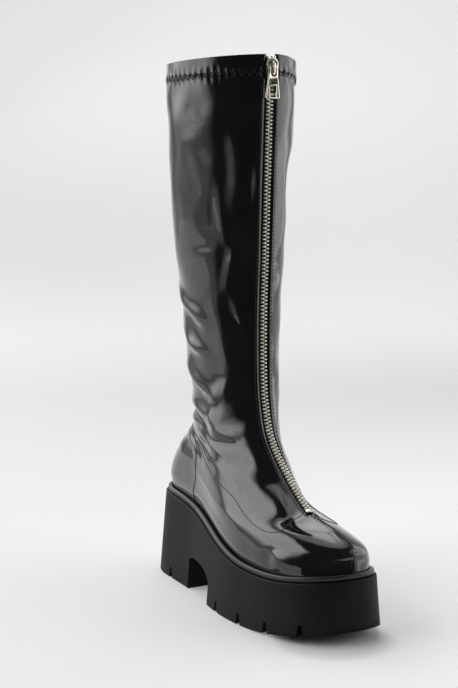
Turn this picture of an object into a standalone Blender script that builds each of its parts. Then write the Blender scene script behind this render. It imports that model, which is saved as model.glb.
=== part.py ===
"""Right-foot chunky platform boot: knee-high upper with a front zip on a block-heel sole.

Sizes are in millimetres and become metres when a mesh is made.  While the shapes are worked out,
X runs from heel to toe with 0 at the back of the upper's foot, Y points to the wearer's left (the
inner side of this right boot), and Z is up from the floor.  At the end everything is moved so that
the origin is at the middle of the bottom of the whole boot's box.
"""
import math

import bmesh
import bpy
import numpy as np
from mathutils import Vector

MM = 0.001

# The upper is a stack of rings.  Each ring is a slice from the back of the boot to its front line.
RING_COLUMNS = ("back_x", "back_z", "front_x", "front_z", "heel_w", "outer_w", "inner_w",
                "nose", "nose_power", "inner_power", "ridge", "heel_cap", "heel_power",
                "mid_y", "front_y", "sag", "inner_drop")
RINGS = (
    # name, back x and z, front x and z, half widths at heel, outer and inner ball, nose length and power,
    # inner power, ridge, heel cap and power, middle's and front's y, share of the rim's bow, inner drop
    ("rim",          0,  80,   262,  57, 29.5,   49, 31.5, 72,  2.5,  2.5,   0, 34,  2.5, 0,   19,    1, 0),
    ("toe_bulge",   -2,  90, 260.3,  65,   31,   51,   33, 72, 2.32,  2.5,   0, 35,  2.5, 0,   19,    1, 0),
    ("toe_curve",   -1,  97,   257, 74.5,  31,   50,   33, 74, 2.25, 2.15,   0, 35,  2.4, 0,   18,  0.9, 0),
    ("toe_top",      1, 104,   239, 84.5, 30.5,   48,   31, 74, 2.35,  1.6, 1.5, 36,  2.3, 0,   15,  0.8, 0),
    ("zip_end",      5, 113,   208,  93, 29.5,   44, 32.3, 70,  2.3, 1.08,   4, 37, 2.15, 0,   10,  0.6, 0),
    ("instep_low",  12, 124,   176, 115, 28.5, 38.5, 34.4, 62, 2.15, 1.13,   4, 38, 2.05, 1,    7, 0.35, 0),
    ("instep_high", 20, 138,   146, 142, 26.5,   35, 32.3, 58,    2, 1.49,   4, 42,    2, 3,    6,  0.1, 0),
    ("ankle",       23, 158,   130, 170, 29.5, 33.5, 31.2, 52,    2, 1.84,   3, 50,    2, 5,    8,    0, 0),
    ("shin_low",    21, 190, 123.5, 200,   34,   35,   33, 51,    2, 1.98, 1.5, 51,    2, 5,  9.5,    0, 0),
    ("shin",        15, 245, 121.5, 250,   39, 39.5,   36, 53,    2,    2,   0, 53,    2, 5, 10.5,    0, 0),
    ("calf_low",     9, 300, 121.5, 302,   44,   44, 38.2, 56,    2,    2,   0, 56,    2, 5,   12,    0, 0),
    ("calf",         3, 360, 122.5, 362,   49,   49, 44.2, 60,    2,    2,   0, 60,    2, 6,   13,    0, 1),
    ("calf_top",     1, 410, 123.5, 416, 51.5, 51.5, 47.1, 61,    2,    2,   0, 61,    2, 7,   14,    0, 5),
    ("collar",       2, 452, 124.5, 465,   52,   52,   48, 61,    2,    2,   0, 61,    2, 7,   15,    0, 11),
)
RING_NAMES = [row[0] for row in RINGS]
RING_TABLE = np.array([row[1:] for row in RINGS])
COLLAR_ROW = float(RING_NAMES.index("collar"))
ZIP_END_ROW = float(RING_NAMES.index("zip_end"))

# Rise of the upper's lower edge along the foot, from the heel seat to the toe.
RIM_X = (0.0, 55.0, 100.0, 140.0, 170.0, 225.0, 262.0)
RIM_Z = (80.0, 77.0, 69.0, 59.0, 53.0, 51.5, 57.0)

WIDEN_FROM = 0.25
WIDEN_TO = 0.70
SWING_FROM = 0.30
TINY = 1e-6
SMOOTH_BELOW_DEG = 32.0

WALL = 1.8
GAP = 0.3
HEM_ROW = 12.70
HEM_STEP = 0.5
SIDE_COLUMNS = 22
# Rings drawn between one table row and the next, from the rim up to the hem.
RING_STEPS = (2, 3, 3, 3, 3, 3, 3, 2, 2, 2, 2, 2)

WELT_HEIGHT = 5.0
WELT_WIDTH = 3.8
WELT_SIDES = 8
LOOP_POINTS = 80

LEDGE = 6.2
EDGE_ROUND = 1.1
FLARE_DEG = 4.5
TOE_SPRING = 9.0
TOE_SPRING_FROM = 190.0
TOE_SPRING_TO = 268.0
TOE_SPRING_POWER = 1.6
HEEL_BEVEL = 4.0
HEEL_BEVEL_LENGTH = 14.0
TOE_BEVEL_HEIGHT = 8.0
TOE_BEVEL_DEPTH = 6.0
TOE_BEVEL_FROM = 256.0
TOE_BEVEL_TO = 271.0

# The arch: a tunnel right across the sole between heel breast and forefoot.
ARCH_X = (76.5, 84.0, 96.0, 110.0, 121.0, 127.5)
ARCH_Z = (27.0, 29.5, 30.0, 28.5, 25.0, 20.0)

# Lug gaps in the lower edge of the sole, by their place along the boot on both sides.
LUG_GAP_X = (6.0, 41.0, 147.0, 184.0, 221.0, 252.0)
LUG_GAP_HEIGHT = 9.5
LUG_GAP_FOOT = 8.0
LUG_GAP_HEAD = 3.0
LUG_GAP_DEPTH = 13.0

INSOLE_THICK = 3.0
INSOLE_PLAY = 0.6

SLOT_HALF = 4.5
TAPE_THICK = 0.8
TAPE_INSIDE = 1.2
TAPE_OUTSIDE = 12.0
TAPE_COLUMNS = 6
TAPE_STATIONS = 36
TAPE_GAP = 0.5
TAPE_TOP_ROW = 12.96
TAPE_LOW_ROW = 3.75
CHAIN_HALF = 3.0
CHAIN_BACK = -1.8
CHAIN_FACE = 0.7
CHAIN_STATIONS = 56

# Places along the zip, measured down from the collar or up from the slit's lower end.
SLIDER_MIDDLE_DOWN = 11.5
STOP_LOW_FROM = 2.4
STOP_LOW_TO = 5.6
CHAIN_LOW = 6.0

# Slider, in its own frame: across, along the zip (up), and out from the boot.
SLIDER_HALF_HEIGHT = 8.5
SLIDER_SHOULDER = 5.6
SLIDER_FOOT = 4.6
SLIDER_BACK = 1.0
SLIDER_FACE = 2.6
SLIDER_UNDER = (-5.4, -3.8)
POST_HALF = 0.7
POST_SPAN = (4.0, 7.0)
BRIDGE_HALF = 1.0
BRIDGE_END = 5.5
BRIDGE_GAP_END = 3.6
BRIDGE_GAP_OUT = 5.2
BRIDGE_OUT = 6.4
HINGE_UP = 1.2
HINGE_OUT = 3.9

# Pull tab, measured down from its hinge.
PULL_HALF_THICK = 0.8
PULL_HEAD_UP = 0.75
PULL_LENGTH = 26.4
PULL_HEAD_HALF = 4.2
PULL_NECK_DOWN = 8.5
PULL_NECK_HALF = 4.5
PULL_FOOT_HALF = 6.8
PULL_SLOT_HALF = 2.0
PULL_SLOT_DOWN = 8.3
PULL_WINDOW = (15.7, 22.6)
PULL_WINDOW_HALF = 3.1
PULL_SLIT = (23.7, 25.2)

STOP_ACROSS = (2.0, 4.0)
STOP_ALONG = (6.2, 10.2)

COLOURS = {
    # node: red, green, blue, roughness, metallic
    "sole_unit": (0.022, 0.022, 0.023, 0.62, 0.0),
    "welt": (0.016, 0.016, 0.017, 0.42, 0.0),
    "insole": (0.030, 0.028, 0.027, 0.80, 0.0),
    "upper": (0.010, 0.010, 0.011, 0.12, 0.0),
    "zip_tape_outer": (0.012, 0.012, 0.013, 0.85, 0.0),
    "zip_tape_inner": (0.012, 0.012, 0.013, 0.85, 0.0),
    "zip_chain": (0.74, 0.71, 0.66, 0.28, 1.0),
    "zip_slider": (0.72, 0.69, 0.64, 0.25, 1.0),
    "zip_pull": (0.72, 0.69, 0.64, 0.25, 1.0),
    "zip_stop_outer": (0.74, 0.71, 0.66, 0.28, 1.0),
    "zip_stop_inner": (0.74, 0.71, 0.66, 0.28, 1.0),
    "zip_stop_low": (0.74, 0.71, 0.66, 0.28, 1.0),
}


def through(knots, values, at):
    """Smooth curve through a table's rows, evaluated at each place in at."""
    knots = np.asarray(knots, float)
    values = np.asarray(values, float)
    at = np.atleast_1d(at)
    width = np.diff(knots)[:, None]
    slope = np.diff(values, axis=0) / width
    tangent = np.empty_like(values)
    tangent[1:-1] = (slope[:-1] * width[1:] + slope[1:] * width[:-1]) / (width[1:] + width[:-1])
    tangent[0] = slope[0]
    tangent[-1] = slope[-1]
    row = np.clip(np.searchsorted(knots, at, side="right") - 1, 0, len(knots) - 2)
    span = (knots[row + 1] - knots[row])[:, None]
    s = (at - knots[row])[:, None] / span
    start = (2 * s**3 - 3 * s**2 + 1) * values[row]
    leave = (s**3 - 2 * s**2 + s) * span * tangent[row]
    end = (3 * s**2 - 2 * s**3) * values[row + 1]
    arrive = (s**3 - s**2) * span * tangent[row + 1]
    return start + leave + end + arrive


def ease(low, high, at):
    """0 below low, 1 above high, smooth between."""
    t = np.clip((at - low) / (high - low), 0.0, 1.0)
    return t * t * (3.0 - 2.0 * t)


def rim_bow(t):
    """Height of the upper's lower edge over its straight chord, t from heel to toe."""
    heights = through(RIM_X, np.array(RIM_Z)[:, None], t * RIM_X[-1])[:, 0]
    return heights - (RIM_Z[0] + (RIM_Z[-1] - RIM_Z[0]) * t)


def ring_values(row):
    """The named columns of the ring table at a row number that may lie between rows."""
    values = through(np.arange(len(RINGS)), RING_TABLE, row)[0]
    return dict(zip(RING_COLUMNS, values))


def ring_half_width(ring, u):
    """Half width of one ring at angles u: 0 at the back, pi at the front, outer side first."""
    length = ring["front_x"] - ring["back_x"]
    along = length * (1.0 - np.cos(u)) / 2.0
    outer = np.sin(u) >= 0.0
    ball = np.where(outer, ring["outer_w"], ring["inner_w"])
    half = ring["heel_w"] + (ball - ring["heel_w"]) * ease(WIDEN_FROM * length, WIDEN_TO * length, along)
    heel = np.clip(1.0 - along / ring["heel_cap"], 0.0, 1.0)
    half *= (1.0 - heel ** ring["heel_power"]) ** (1.0 / ring["heel_power"])
    nose = np.clip(1.0 - (length - along) / ring["nose"], 0.0, 1.0)
    power = np.where(outer, ring["nose_power"], ring["inner_power"])
    half *= (1.0 - nose**power) ** (1.0 / power)
    ridge = np.where(outer, 0.0, np.maximum(ring["ridge"], 0.0))
    blunt = np.clip(1.0 - (length - along) / np.maximum(ridge, TINY), 0.0, 1.0)
    return np.hypot(half, ridge * np.sqrt(1.0 - blunt**2))


def upper_points(row, u):
    """Points on the outside of the upper, on one ring, at angles u."""
    ring = ring_values(row)
    t = (1.0 - np.cos(u)) / 2.0
    length = ring["front_x"] - ring["back_x"]
    x = ring["back_x"] + length * t
    z = ring["back_z"] + (ring["front_z"] - ring["back_z"]) * t + ring["sag"] * rim_bow(t)
    z -= ring["inner_drop"] * np.minimum(np.sin(u), 0.0) ** 2
    side = np.where(np.sin(u) >= 0.0, -1.0, 1.0)
    swing = ease(SWING_FROM * length, length, length * t)
    y = ring["mid_y"] + (ring["front_y"] - ring["mid_y"]) * swing + side * ring_half_width(ring, u)
    return np.stack([x, y, z], axis=-1)


def unit(vectors):
    return vectors / np.linalg.norm(vectors, axis=-1, keepdims=True)


def upper_normals(row, u):
    """Outward normals of the upper at angles u of one ring."""
    small = 1e-3
    around = upper_points(row, u + small) - upper_points(row, u - small)
    upward = upper_points(row + small, u) - upper_points(row - small, u)
    return unit(np.cross(around, upward))


def angle_at_width(row, wanted, outer):
    """Angle near the front where the ring's half width has the wanted value."""
    ring = ring_values(row)
    low = 0.0
    high = 0.5 * math.pi
    for _ in range(50):
        middle = 0.5 * (low + high)
        u = math.pi - middle if outer else math.pi + middle
        if ring_half_width(ring, np.array([u]))[0] < wanted:
            low = middle
        else:
            high = middle
    return math.pi - high if outer else math.pi + high


def flat_normals(loop):
    """Outward normals, seen from above, of a closed loop that runs outer side first."""
    along = np.roll(loop, -1, axis=0) - np.roll(loop, 1, axis=0)
    flat = np.stack([along[:, 1], -along[:, 0], np.zeros(len(loop))], axis=-1)
    return unit(flat)


def rim_loop(out, lift):
    """The upper's rim seen from above, moved out and up."""
    u = np.arange(LOOP_POINTS) * 2.0 * math.pi / LOOP_POINTS
    loop = upper_points(0.0, u)
    moved = loop + flat_normals(loop) * np.reshape(out, (-1, 1))
    moved[:, 2] = loop[:, 2] + lift
    return moved


def shell(points, faces):
    """A bmesh of points in millimetres and faces that name them."""
    work = bmesh.new()
    corners = [work.verts.new(Vector(point) * MM) for point in points]
    for face in faces:
        work.faces.new([corners[k] for k in face])
    return work


def make_object(name, work):
    """A closed mesh object with faces turned outwards, soft edges shaded smooth and its own material."""
    bmesh.ops.recalc_face_normals(work, faces=work.faces)
    mesh = bpy.data.meshes.new(name)
    work.to_mesh(mesh)
    work.free()
    mesh.shade_smooth()
    mesh.set_sharp_from_angle(angle=math.radians(SMOOTH_BELOW_DEG))
    thing = bpy.data.objects.new(name, mesh)
    bpy.context.scene.collection.objects.link(thing)
    if name in COLOURS:
        thing.data.materials.append(make_material(name, *COLOURS[name]))
    return thing


def make_material(name, red, green, blue, roughness, metallic):
    material = bpy.data.materials.new(name)
    material.use_nodes = True
    shader = material.node_tree.nodes["Principled BSDF"]
    shader.inputs["Base Color"].default_value = (red, green, blue, 1.0)
    shader.inputs["Roughness"].default_value = roughness
    shader.inputs["Metallic"].default_value = metallic
    return material


def as_cutter(thing):
    thing.hide_render = True
    thing.display_type = "WIRE"
    return thing


def combine(thing, other, operation):
    """Apply a boolean of other on thing, then remove other."""
    step = thing.modifiers.new(operation.lower(), "BOOLEAN")
    step.operation = operation
    step.solver = "EXACT"
    step.object = as_cutter(other)
    bpy.context.view_layer.update()
    graph = bpy.context.evaluated_depsgraph_get()
    result = bpy.data.meshes.new_from_object(thing.evaluated_get(graph))
    thing.modifiers.clear()
    old = thing.data
    thing.data = result
    bpy.data.meshes.remove(old)
    bpy.data.objects.remove(other)


def lofted(name, loops):
    """Solid through closed loops of equal length, ends closed by strips across the boot."""
    count = len(loops[0])
    points = np.concatenate(loops)
    faces = []
    for level in range(len(loops) - 1):
        for i in range(count):
            j = (i + 1) % count
            low = level * count
            faces.append((low + i, low + j, low + count + j, low + count + i))
    for base in (0, (len(loops) - 1) * count):
        for i in range(count // 2):
            across = [base + i, base + i + 1, base + (count - i - 1) % count, base + (count - i) % count]
            faces.append(tuple(dict.fromkeys(across)))
    return make_object(name, shell(points, faces))


def tube(name, sections):
    """Solid ring through closed sections that follow each other round a closed path."""
    count = len(sections)
    sides = len(sections[0])
    faces = []
    for i in range(count):
        for k in range(sides):
            here = i * sides
            there = ((i + 1) % count) * sides
            faces.append((here + k, there + k, there + (k + 1) % sides, here + (k + 1) % sides))
    return make_object(name, shell(np.concatenate(sections), faces))


def swept(name, sections):
    """Solid bar through closed sections, with flat ends."""
    sides = len(sections[0])
    faces = [tuple(range(sides)), tuple((len(sections) - 1) * sides + k for k in range(sides))]
    for i in range(len(sections) - 1):
        for k in range(sides):
            here = i * sides
            there = here + sides
            faces.append((here + k, there + k, there + (k + 1) % sides, here + (k + 1) % sides))
    return make_object(name, shell(np.concatenate(sections), faces))


def sole_bottom(x):
    """Height of the sole's underside: flat, with a bevel at the heel's back and a toe spring."""
    toe = np.clip((x - TOE_SPRING_FROM) / (TOE_SPRING_TO - TOE_SPRING_FROM), 0.0, None)
    bevel = np.clip((x + LEDGE - HEEL_BEVEL_LENGTH) / -HEEL_BEVEL_LENGTH, 0.0, None)
    return TOE_SPRING * toe**TOE_SPRING_POWER + HEEL_BEVEL * bevel**2


def sole_loops():
    """The sole's outlines from its top face down to its underside; the lower edge is cut back at the toe."""
    top_edge = rim_loop(LEDGE - EDGE_ROUND, -WELT_HEIGHT)
    top_side = rim_loop(LEDGE, -WELT_HEIGHT - EDGE_ROUND)
    drop = top_side[:, 2] - sole_bottom(top_side[:, 0])
    flare = drop * math.tan(math.radians(FLARE_DEG))
    low_side = rim_loop(LEDGE + flare, 0.0)
    toe = ease(TOE_BEVEL_FROM, TOE_BEVEL_TO, low_side[:, 0])
    low_side[:, 2] = sole_bottom(low_side[:, 0]) + EDGE_ROUND + (TOE_BEVEL_HEIGHT - EDGE_ROUND) * toe
    low_edge = rim_loop(LEDGE + flare - EDGE_ROUND - (TOE_BEVEL_DEPTH - EDGE_ROUND) * toe, 0.0)
    low_edge[:, 2] = sole_bottom(low_edge[:, 0])
    return top_edge, top_side, low_side, low_edge


def arch_cutter(half_width):
    """Tunnel through the sole from side to side, with a rounded roof."""
    x = np.linspace(ARCH_X[0], ARCH_X[-1], 15)
    z = through(ARCH_X, np.array(ARCH_Z)[:, None], x)[:, 0]
    outline = [(ARCH_X[0], -5.0)] + list(zip(x, z)) + [(ARCH_X[-1], -5.0)]
    return prism("arch_cutter", [(px, -half_width, pz) for px, pz in outline], (0.0, 2.0 * half_width, 0.0))


def lug_gap_cutter(low_side):
    """Wedges that cut the gaps between the lugs, square to the sole's lower outline."""
    outward = flat_normals(low_side)
    half = len(low_side) // 2
    points = []
    faces = []
    for side_index in (range(1, half), range(half + 1, len(low_side))):
        index = np.array(list(side_index))
        for wanted in LUG_GAP_X:
            at = index[np.argmin(np.abs(low_side[index, 0] - wanted))]
            out = outward[at]
            along = np.array([-out[1], out[0], 0.0])
            foot = low_side[at, 2] - EDGE_ROUND
            start = len(points)
            for depth in (-LUG_GAP_DEPTH, 8.0):
                centre = low_side[at] * np.array([1.0, 1.0, 0.0]) + out * depth
                for across, height in ((-LUG_GAP_FOOT, -4.0), (LUG_GAP_FOOT, -4.0),
                                       (LUG_GAP_HEAD, LUG_GAP_HEIGHT), (-LUG_GAP_HEAD, LUG_GAP_HEIGHT)):
                    lift = np.array([0.0, 0.0, foot + height])
                    points.append(centre + along * 0.5 * across + lift)
            for face in ((0, 1, 2, 3), (7, 6, 5, 4), (0, 4, 5, 1), (1, 5, 6, 2), (2, 6, 7, 3), (3, 7, 4, 0)):
                faces.append(tuple(start + k for k in face))
    return make_object("lug_gap_cutter", shell(points, faces))


def build_sole():
    top_edge, top_side, low_side, low_edge = sole_loops()
    sole = lofted("sole_unit", [top_edge, top_side, low_side, low_edge])
    combine(sole, arch_cutter(2.0 * RING_TABLE[0][5]), "DIFFERENCE")
    combine(sole, lug_gap_cutter(low_side), "DIFFERENCE")
    return sole


def build_welt():
    """Rounded bead that stands on the sole's ledge against the upper."""
    height = WELT_HEIGHT - 2.0 * GAP
    base = rim_loop(0.0, 0.0)
    out = flat_normals(base)
    centre = base + out * (GAP + 0.1 + WELT_WIDTH / 2.0)
    centre[:, 2] = base[:, 2] - WELT_HEIGHT / 2.0
    sections = []
    for middle, away in zip(centre, out):
        section = []
        for k in range(WELT_SIDES):
            turn = 2.0 * math.pi * (k + 0.5) / WELT_SIDES
            scale = 1.0 / math.cos(math.pi / WELT_SIDES)
            sideways = away * (0.5 * WELT_WIDTH * scale * math.cos(turn))
            section.append(middle + sideways + np.array([0.0, 0.0, 0.5 * height * scale * math.sin(turn)]))
        sections.append(np.array(section))
    return tube("welt", sections)


def build_insole():
    inset = -(WALL + INSOLE_PLAY)
    low = GAP - WELT_HEIGHT
    return lofted("insole", [rim_loop(inset, low), rim_loop(inset, low + INSOLE_THICK)])


def upper_rows():
    """Row numbers of the upper's rings and how far each stands proud of the last."""
    rows = []
    for start, steps in enumerate(RING_STEPS):
        rows.extend((start + k / steps, 0.0) for k in range(steps))
    rows.append((12.0, 0.0))
    rows.append((12.4, 0.0))
    rows.append((HEM_ROW, 0.0))
    rows.append((HEM_ROW + 0.015, HEM_STEP))
    rows.append((HEM_ROW + 0.15, HEM_STEP))
    rows.append((COLLAR_ROW, HEM_STEP))
    return rows


def ring_angles(row):
    """Angles of one ring's columns: back, outer side to the slit, front line, inner side back again."""
    outer = angle_at_width(row, SLOT_HALF, True)
    inner = angle_at_width(row, SLOT_HALF, False)
    steps = np.arange(1, SIDE_COLUMNS + 1) / SIDE_COLUMNS
    outer_side = outer * steps
    inner_side = 2.0 * math.pi - (2.0 * math.pi - inner) * steps[::-1]
    return np.concatenate([[0.0], outer_side, [math.pi], inner_side])


def build_upper():
    """One hollow wall: outer skin, inner skin, and the edges at collar, seat and zip slit."""
    outer_rings = []
    inner_rings = []
    rows = upper_rows()
    for row, proud in rows:
        u = ring_angles(row)
        out = upper_normals(row, u)
        skin = upper_points(row, u)
        outer_rings.append(skin + out * proud)
        inner_rings.append(skin - out * WALL)
    seat_drop = np.array([0.0, 0.0, -(WELT_HEIGHT - GAP)])
    outer_rings.insert(0, outer_rings[0] + seat_drop)
    inner_rings.insert(0, np.column_stack([inner_rings[0][:, :2], outer_rings[0][:, 2]]))
    columns = len(outer_rings[0])
    levels = len(outer_rings)
    front = SIDE_COLUMNS + 1
    slit_low = 1 + [row for row, _ in rows].index(ZIP_END_ROW)
    points = []
    number = {}
    for skin, rings in (("out", outer_rings), ("in", inner_rings)):
        for level in range(levels):
            for column in range(columns):
                if column == front and level > slit_low:
                    continue
                number[skin, level, column] = len(points)
                points.append(rings[level][column])
    faces = []
    for level in range(levels - 1):
        for column in range(columns):
            after = (column + 1) % columns
            if level >= slit_low and front in (column, after):
                continue
            for skin in ("out", "in"):
                faces.append((number[skin, level, column], number[skin, level, after],
                              number[skin, level + 1, after], number[skin, level + 1, column]))
    edges = []
    for column in range(columns):
        after = (column + 1) % columns
        edges.append(((0, column), (0, after)))
        if front in (column, after):
            edges.append(((slit_low, column), (slit_low, after)))
        else:
            edges.append(((levels - 1, column), (levels - 1, after)))
    for level in range(slit_low, levels - 1):
        for column in (front - 1, front + 1):
            edges.append(((level, column), (level + 1, column)))
    for first, second in edges:
        faces.append((number[("out", *first)], number[("out", *second)],
                      number[("in", *second)], number[("in", *first)]))
    return make_object("upper", shell(points, faces))


def zip_frame(row):
    """A point on the zip's line with its directions across, along and out."""
    front = np.array([math.pi])
    small = 1e-3
    at = upper_points(row, front)[0]
    along = unit(upper_points(row + small, front)[0] - upper_points(row - small, front)[0])
    out = upper_normals(row, front)[0]
    out = unit(out - along * np.dot(out, along))
    across = np.cross(along, out)
    return at, across, along, out


def zip_rows_by_length():
    """Row numbers along the zip with their lengths from the slit's lower end."""
    rows = np.linspace(ZIP_END_ROW, COLLAR_ROW, 400)
    line = np.array([upper_points(row, np.array([math.pi]))[0] for row in rows])
    steps = np.linalg.norm(np.diff(line, axis=0), axis=1)
    return rows, np.concatenate([[0.0], np.cumsum(steps)])


def bar_on_zip(name, low, high, stations, half, back, face):
    """Bar that follows the zip between two lengths from its lower end."""
    rows, lengths = zip_rows_by_length()
    sections = []
    for length in np.linspace(low, high, stations):
        at, across, _, out = zip_frame(np.interp(length, lengths, rows))
        corners = ((-half, back), (half, back), (half, face), (-half, face))
        sections.append(np.array([at + across * side + out * depth for side, depth in corners]))
    return swept(name, sections)


def build_tape(name, outer):
    """One half of the zip tape, just inside the upper's wall."""
    sections = []
    for row in np.linspace(TAPE_LOW_ROW, TAPE_TOP_ROW, TAPE_STATIONS):
        near = angle_at_width(row, TAPE_INSIDE, outer)
        far = angle_at_width(row, TAPE_OUTSIDE, outer)
        u = np.linspace(near, far, TAPE_COLUMNS)
        skin = upper_points(row, u)
        out = upper_normals(row, u)
        front_face = skin - out * (WALL + TAPE_GAP)
        back_face = skin - out * (WALL + TAPE_GAP + TAPE_THICK)
        sections.append(np.concatenate([front_face, back_face[::-1]]))
    return swept(name, sections)


def prism(name, outline, reach):
    """Solid from a flat outline pushed along reach."""
    work = shell(outline, [range(len(outline))])
    pushed = bmesh.ops.extrude_face_region(work, geom=list(work.faces))
    moving = [part for part in pushed["geom"] if isinstance(part, bmesh.types.BMVert)]
    bmesh.ops.translate(work, verts=moving, vec=Vector(reach) * MM)
    return make_object(name, work)


def plate(name, frame, outline, low, high):
    """Flat plate with an outline given as across and along, between two depths."""
    at, across, along, out = frame
    return prism(name, [at + across * a + along * b + out * low for a, b in outline], out * (high - low))


def side_plate(name, frame, outline, half):
    """Plate that stands on edge, with an outline given as along and out."""
    at, across, along, out = frame
    return prism(name, [at - across * half + along * a + out * b for a, b in outline], across * 2.0 * half)


def rectangle(half, low, high):
    return ((-half, low), (half, low), (half, high), (-half, high))


def build_slider(frame):
    """Slider: shield-shaped face plate, bridge for the pull, post and back plate."""
    outline = [(-SLIDER_FOOT, -SLIDER_HALF_HEIGHT), (SLIDER_FOOT, -SLIDER_HALF_HEIGHT)]
    dome_from = SLIDER_HALF_HEIGHT - SLIDER_SHOULDER
    for k in range(13):
        turn = math.pi * k / 12
        outline.append((SLIDER_SHOULDER * math.cos(turn), dome_from + SLIDER_SHOULDER * math.sin(turn)))
    slider = plate("zip_slider", frame, outline, SLIDER_BACK, SLIDER_FACE)
    sunk = SLIDER_FACE - 0.3
    bevel = 1.3
    bridge = ((-BRIDGE_END, sunk), (-BRIDGE_END, BRIDGE_OUT - bevel), (bevel - BRIDGE_END, BRIDGE_OUT),
              (BRIDGE_END - bevel, BRIDGE_OUT), (BRIDGE_END, BRIDGE_OUT - bevel), (BRIDGE_END, sunk),
              (BRIDGE_GAP_END, sunk), (BRIDGE_GAP_END, BRIDGE_GAP_OUT), (-BRIDGE_GAP_END, BRIDGE_GAP_OUT),
              (-BRIDGE_GAP_END, sunk))
    combine(slider, side_plate("bridge", frame, bridge, BRIDGE_HALF), "UNION")
    under = plate("under", frame, rectangle(4.0, -7.0, 8.0), *SLIDER_UNDER)
    combine(slider, under, "UNION")
    post = plate("post", frame, rectangle(POST_HALF, *POST_SPAN), SLIDER_UNDER[1] - 0.4, SLIDER_BACK + 0.4)
    combine(slider, post, "UNION")
    return slider


def build_pull(frame):
    """Pull tab: tapered plate with a slot for the bridge and a plain window."""
    outline = [(-PULL_HEAD_HALF, PULL_HEAD_UP), (-PULL_HEAD_HALF, -2.0), (-PULL_NECK_HALF, -PULL_NECK_DOWN),
               (-PULL_FOOT_HALF, 1.0 - PULL_LENGTH), (1.0 - PULL_FOOT_HALF, -PULL_LENGTH)]
    outline += [(-a, b) for a, b in reversed(outline)]
    pull = plate("zip_pull", frame, outline, -PULL_HALF_THICK, PULL_HALF_THICK)
    through_depth = 4.0 * PULL_HALF_THICK
    slot = [(PULL_SLOT_HALF, -PULL_HEAD_UP), (-PULL_SLOT_HALF, -PULL_HEAD_UP)]
    for k in range(9):
        turn = math.pi * (1.0 + k / 8)
        slot.append((PULL_SLOT_HALF * math.cos(turn),
                     PULL_SLOT_HALF - PULL_SLOT_DOWN + PULL_SLOT_HALF * math.sin(turn)))
    combine(pull, plate("slot", frame, slot, -through_depth, through_depth), "DIFFERENCE")
    for low, high in (PULL_WINDOW, PULL_SLIT):
        hole = rectangle(PULL_WINDOW_HALF, -high, -low)
        combine(pull, plate("window", frame, hole, -through_depth, through_depth), "DIFFERENCE")
    return pull


def build_stop(name, frame, side):
    """Small clip at the top of one tape."""
    near, far = STOP_ACROSS
    low, high = STOP_ALONG
    outline = [(side * near, low), (side * far, low), (side * far, high), (side * near, high)]
    return plate(name, frame, outline, CHAIN_BACK, CHAIN_FACE)


def build_zip():
    rows, lengths = zip_rows_by_length()
    total = lengths[-1]
    slider_at = total - SLIDER_MIDDLE_DOWN
    frame = zip_frame(np.interp(slider_at, lengths, rows))
    chain_top = slider_at + POST_SPAN[0] - 2.0 * GAP
    pieces = [
        build_tape("zip_tape_outer", True),
        build_tape("zip_tape_inner", False),
        bar_on_zip("zip_chain", CHAIN_LOW, chain_top, CHAIN_STATIONS, CHAIN_HALF, CHAIN_BACK, CHAIN_FACE),
        bar_on_zip("zip_stop_low", STOP_LOW_FROM, STOP_LOW_TO, 2, CHAIN_HALF + 0.4, CHAIN_BACK, CHAIN_FACE),
        build_slider(frame),
        build_stop("zip_stop_outer", frame, -1.0),
        build_stop("zip_stop_inner", frame, 1.0),
    ]
    at, across, along, out = frame
    hinge = at + along * HINGE_UP + out * HINGE_OUT
    pull = build_pull((hinge, across, along, out))
    return pieces, pull, hinge


def to_middle(pieces, pull, hinge):
    """Move all pieces so that the box's bottom middle is the origin; the pull's origin is its hinge."""
    everything = pieces + [pull]
    corners = np.array([v.co for thing in everything for v in thing.data.vertices])
    low = corners.min(axis=0)
    high = corners.max(axis=0)
    shift = Vector((-(low[0] + high[0]) / 2.0, -(low[1] + high[1]) / 2.0, -low[2]))
    for thing in pieces:
        for vertex in thing.data.vertices:
            vertex.co += shift
    pivot = Vector(hinge * MM)
    for vertex in pull.data.vertices:
        vertex.co -= pivot
    pull.location = pivot + shift


def main():
    for thing in list(bpy.data.objects):
        bpy.data.objects.remove(thing)
    pieces = [build_sole(), build_welt(), build_insole(), build_upper()]
    zip_pieces, pull, hinge = build_zip()
    to_middle(pieces + zip_pieces, pull, hinge)


main()
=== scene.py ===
"""Looks of a right-foot chunky platform boot in black patent, on a pale studio floor.

Sizes are in millimetres until a mesh is made.  As in the part's own source, shapes are worked out with
X from heel to toe and 0 at the back of the upper's foot, Y to the wearer's left and Z up.  TO_FRAME then
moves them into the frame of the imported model.  A place on the upper is given by two numbers: its turn in
degrees, 0 at the back seam and 180 at the zip by way of the outer side, and its ring, a row of RINGS.
"""
import math

import bmesh
import bpy
import numpy as np
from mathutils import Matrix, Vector


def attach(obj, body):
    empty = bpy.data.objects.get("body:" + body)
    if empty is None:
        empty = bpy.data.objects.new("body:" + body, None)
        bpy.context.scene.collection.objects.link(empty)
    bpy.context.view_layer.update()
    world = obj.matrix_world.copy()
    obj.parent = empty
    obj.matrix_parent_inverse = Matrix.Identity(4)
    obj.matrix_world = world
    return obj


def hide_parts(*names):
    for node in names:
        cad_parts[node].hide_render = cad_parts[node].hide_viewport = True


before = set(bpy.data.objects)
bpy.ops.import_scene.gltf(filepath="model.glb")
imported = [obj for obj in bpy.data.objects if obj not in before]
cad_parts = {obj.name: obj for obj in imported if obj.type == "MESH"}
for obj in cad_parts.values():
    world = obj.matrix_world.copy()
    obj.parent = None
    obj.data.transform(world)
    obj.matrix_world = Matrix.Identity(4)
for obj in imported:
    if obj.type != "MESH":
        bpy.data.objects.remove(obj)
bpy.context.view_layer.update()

MM = 0.001
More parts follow.
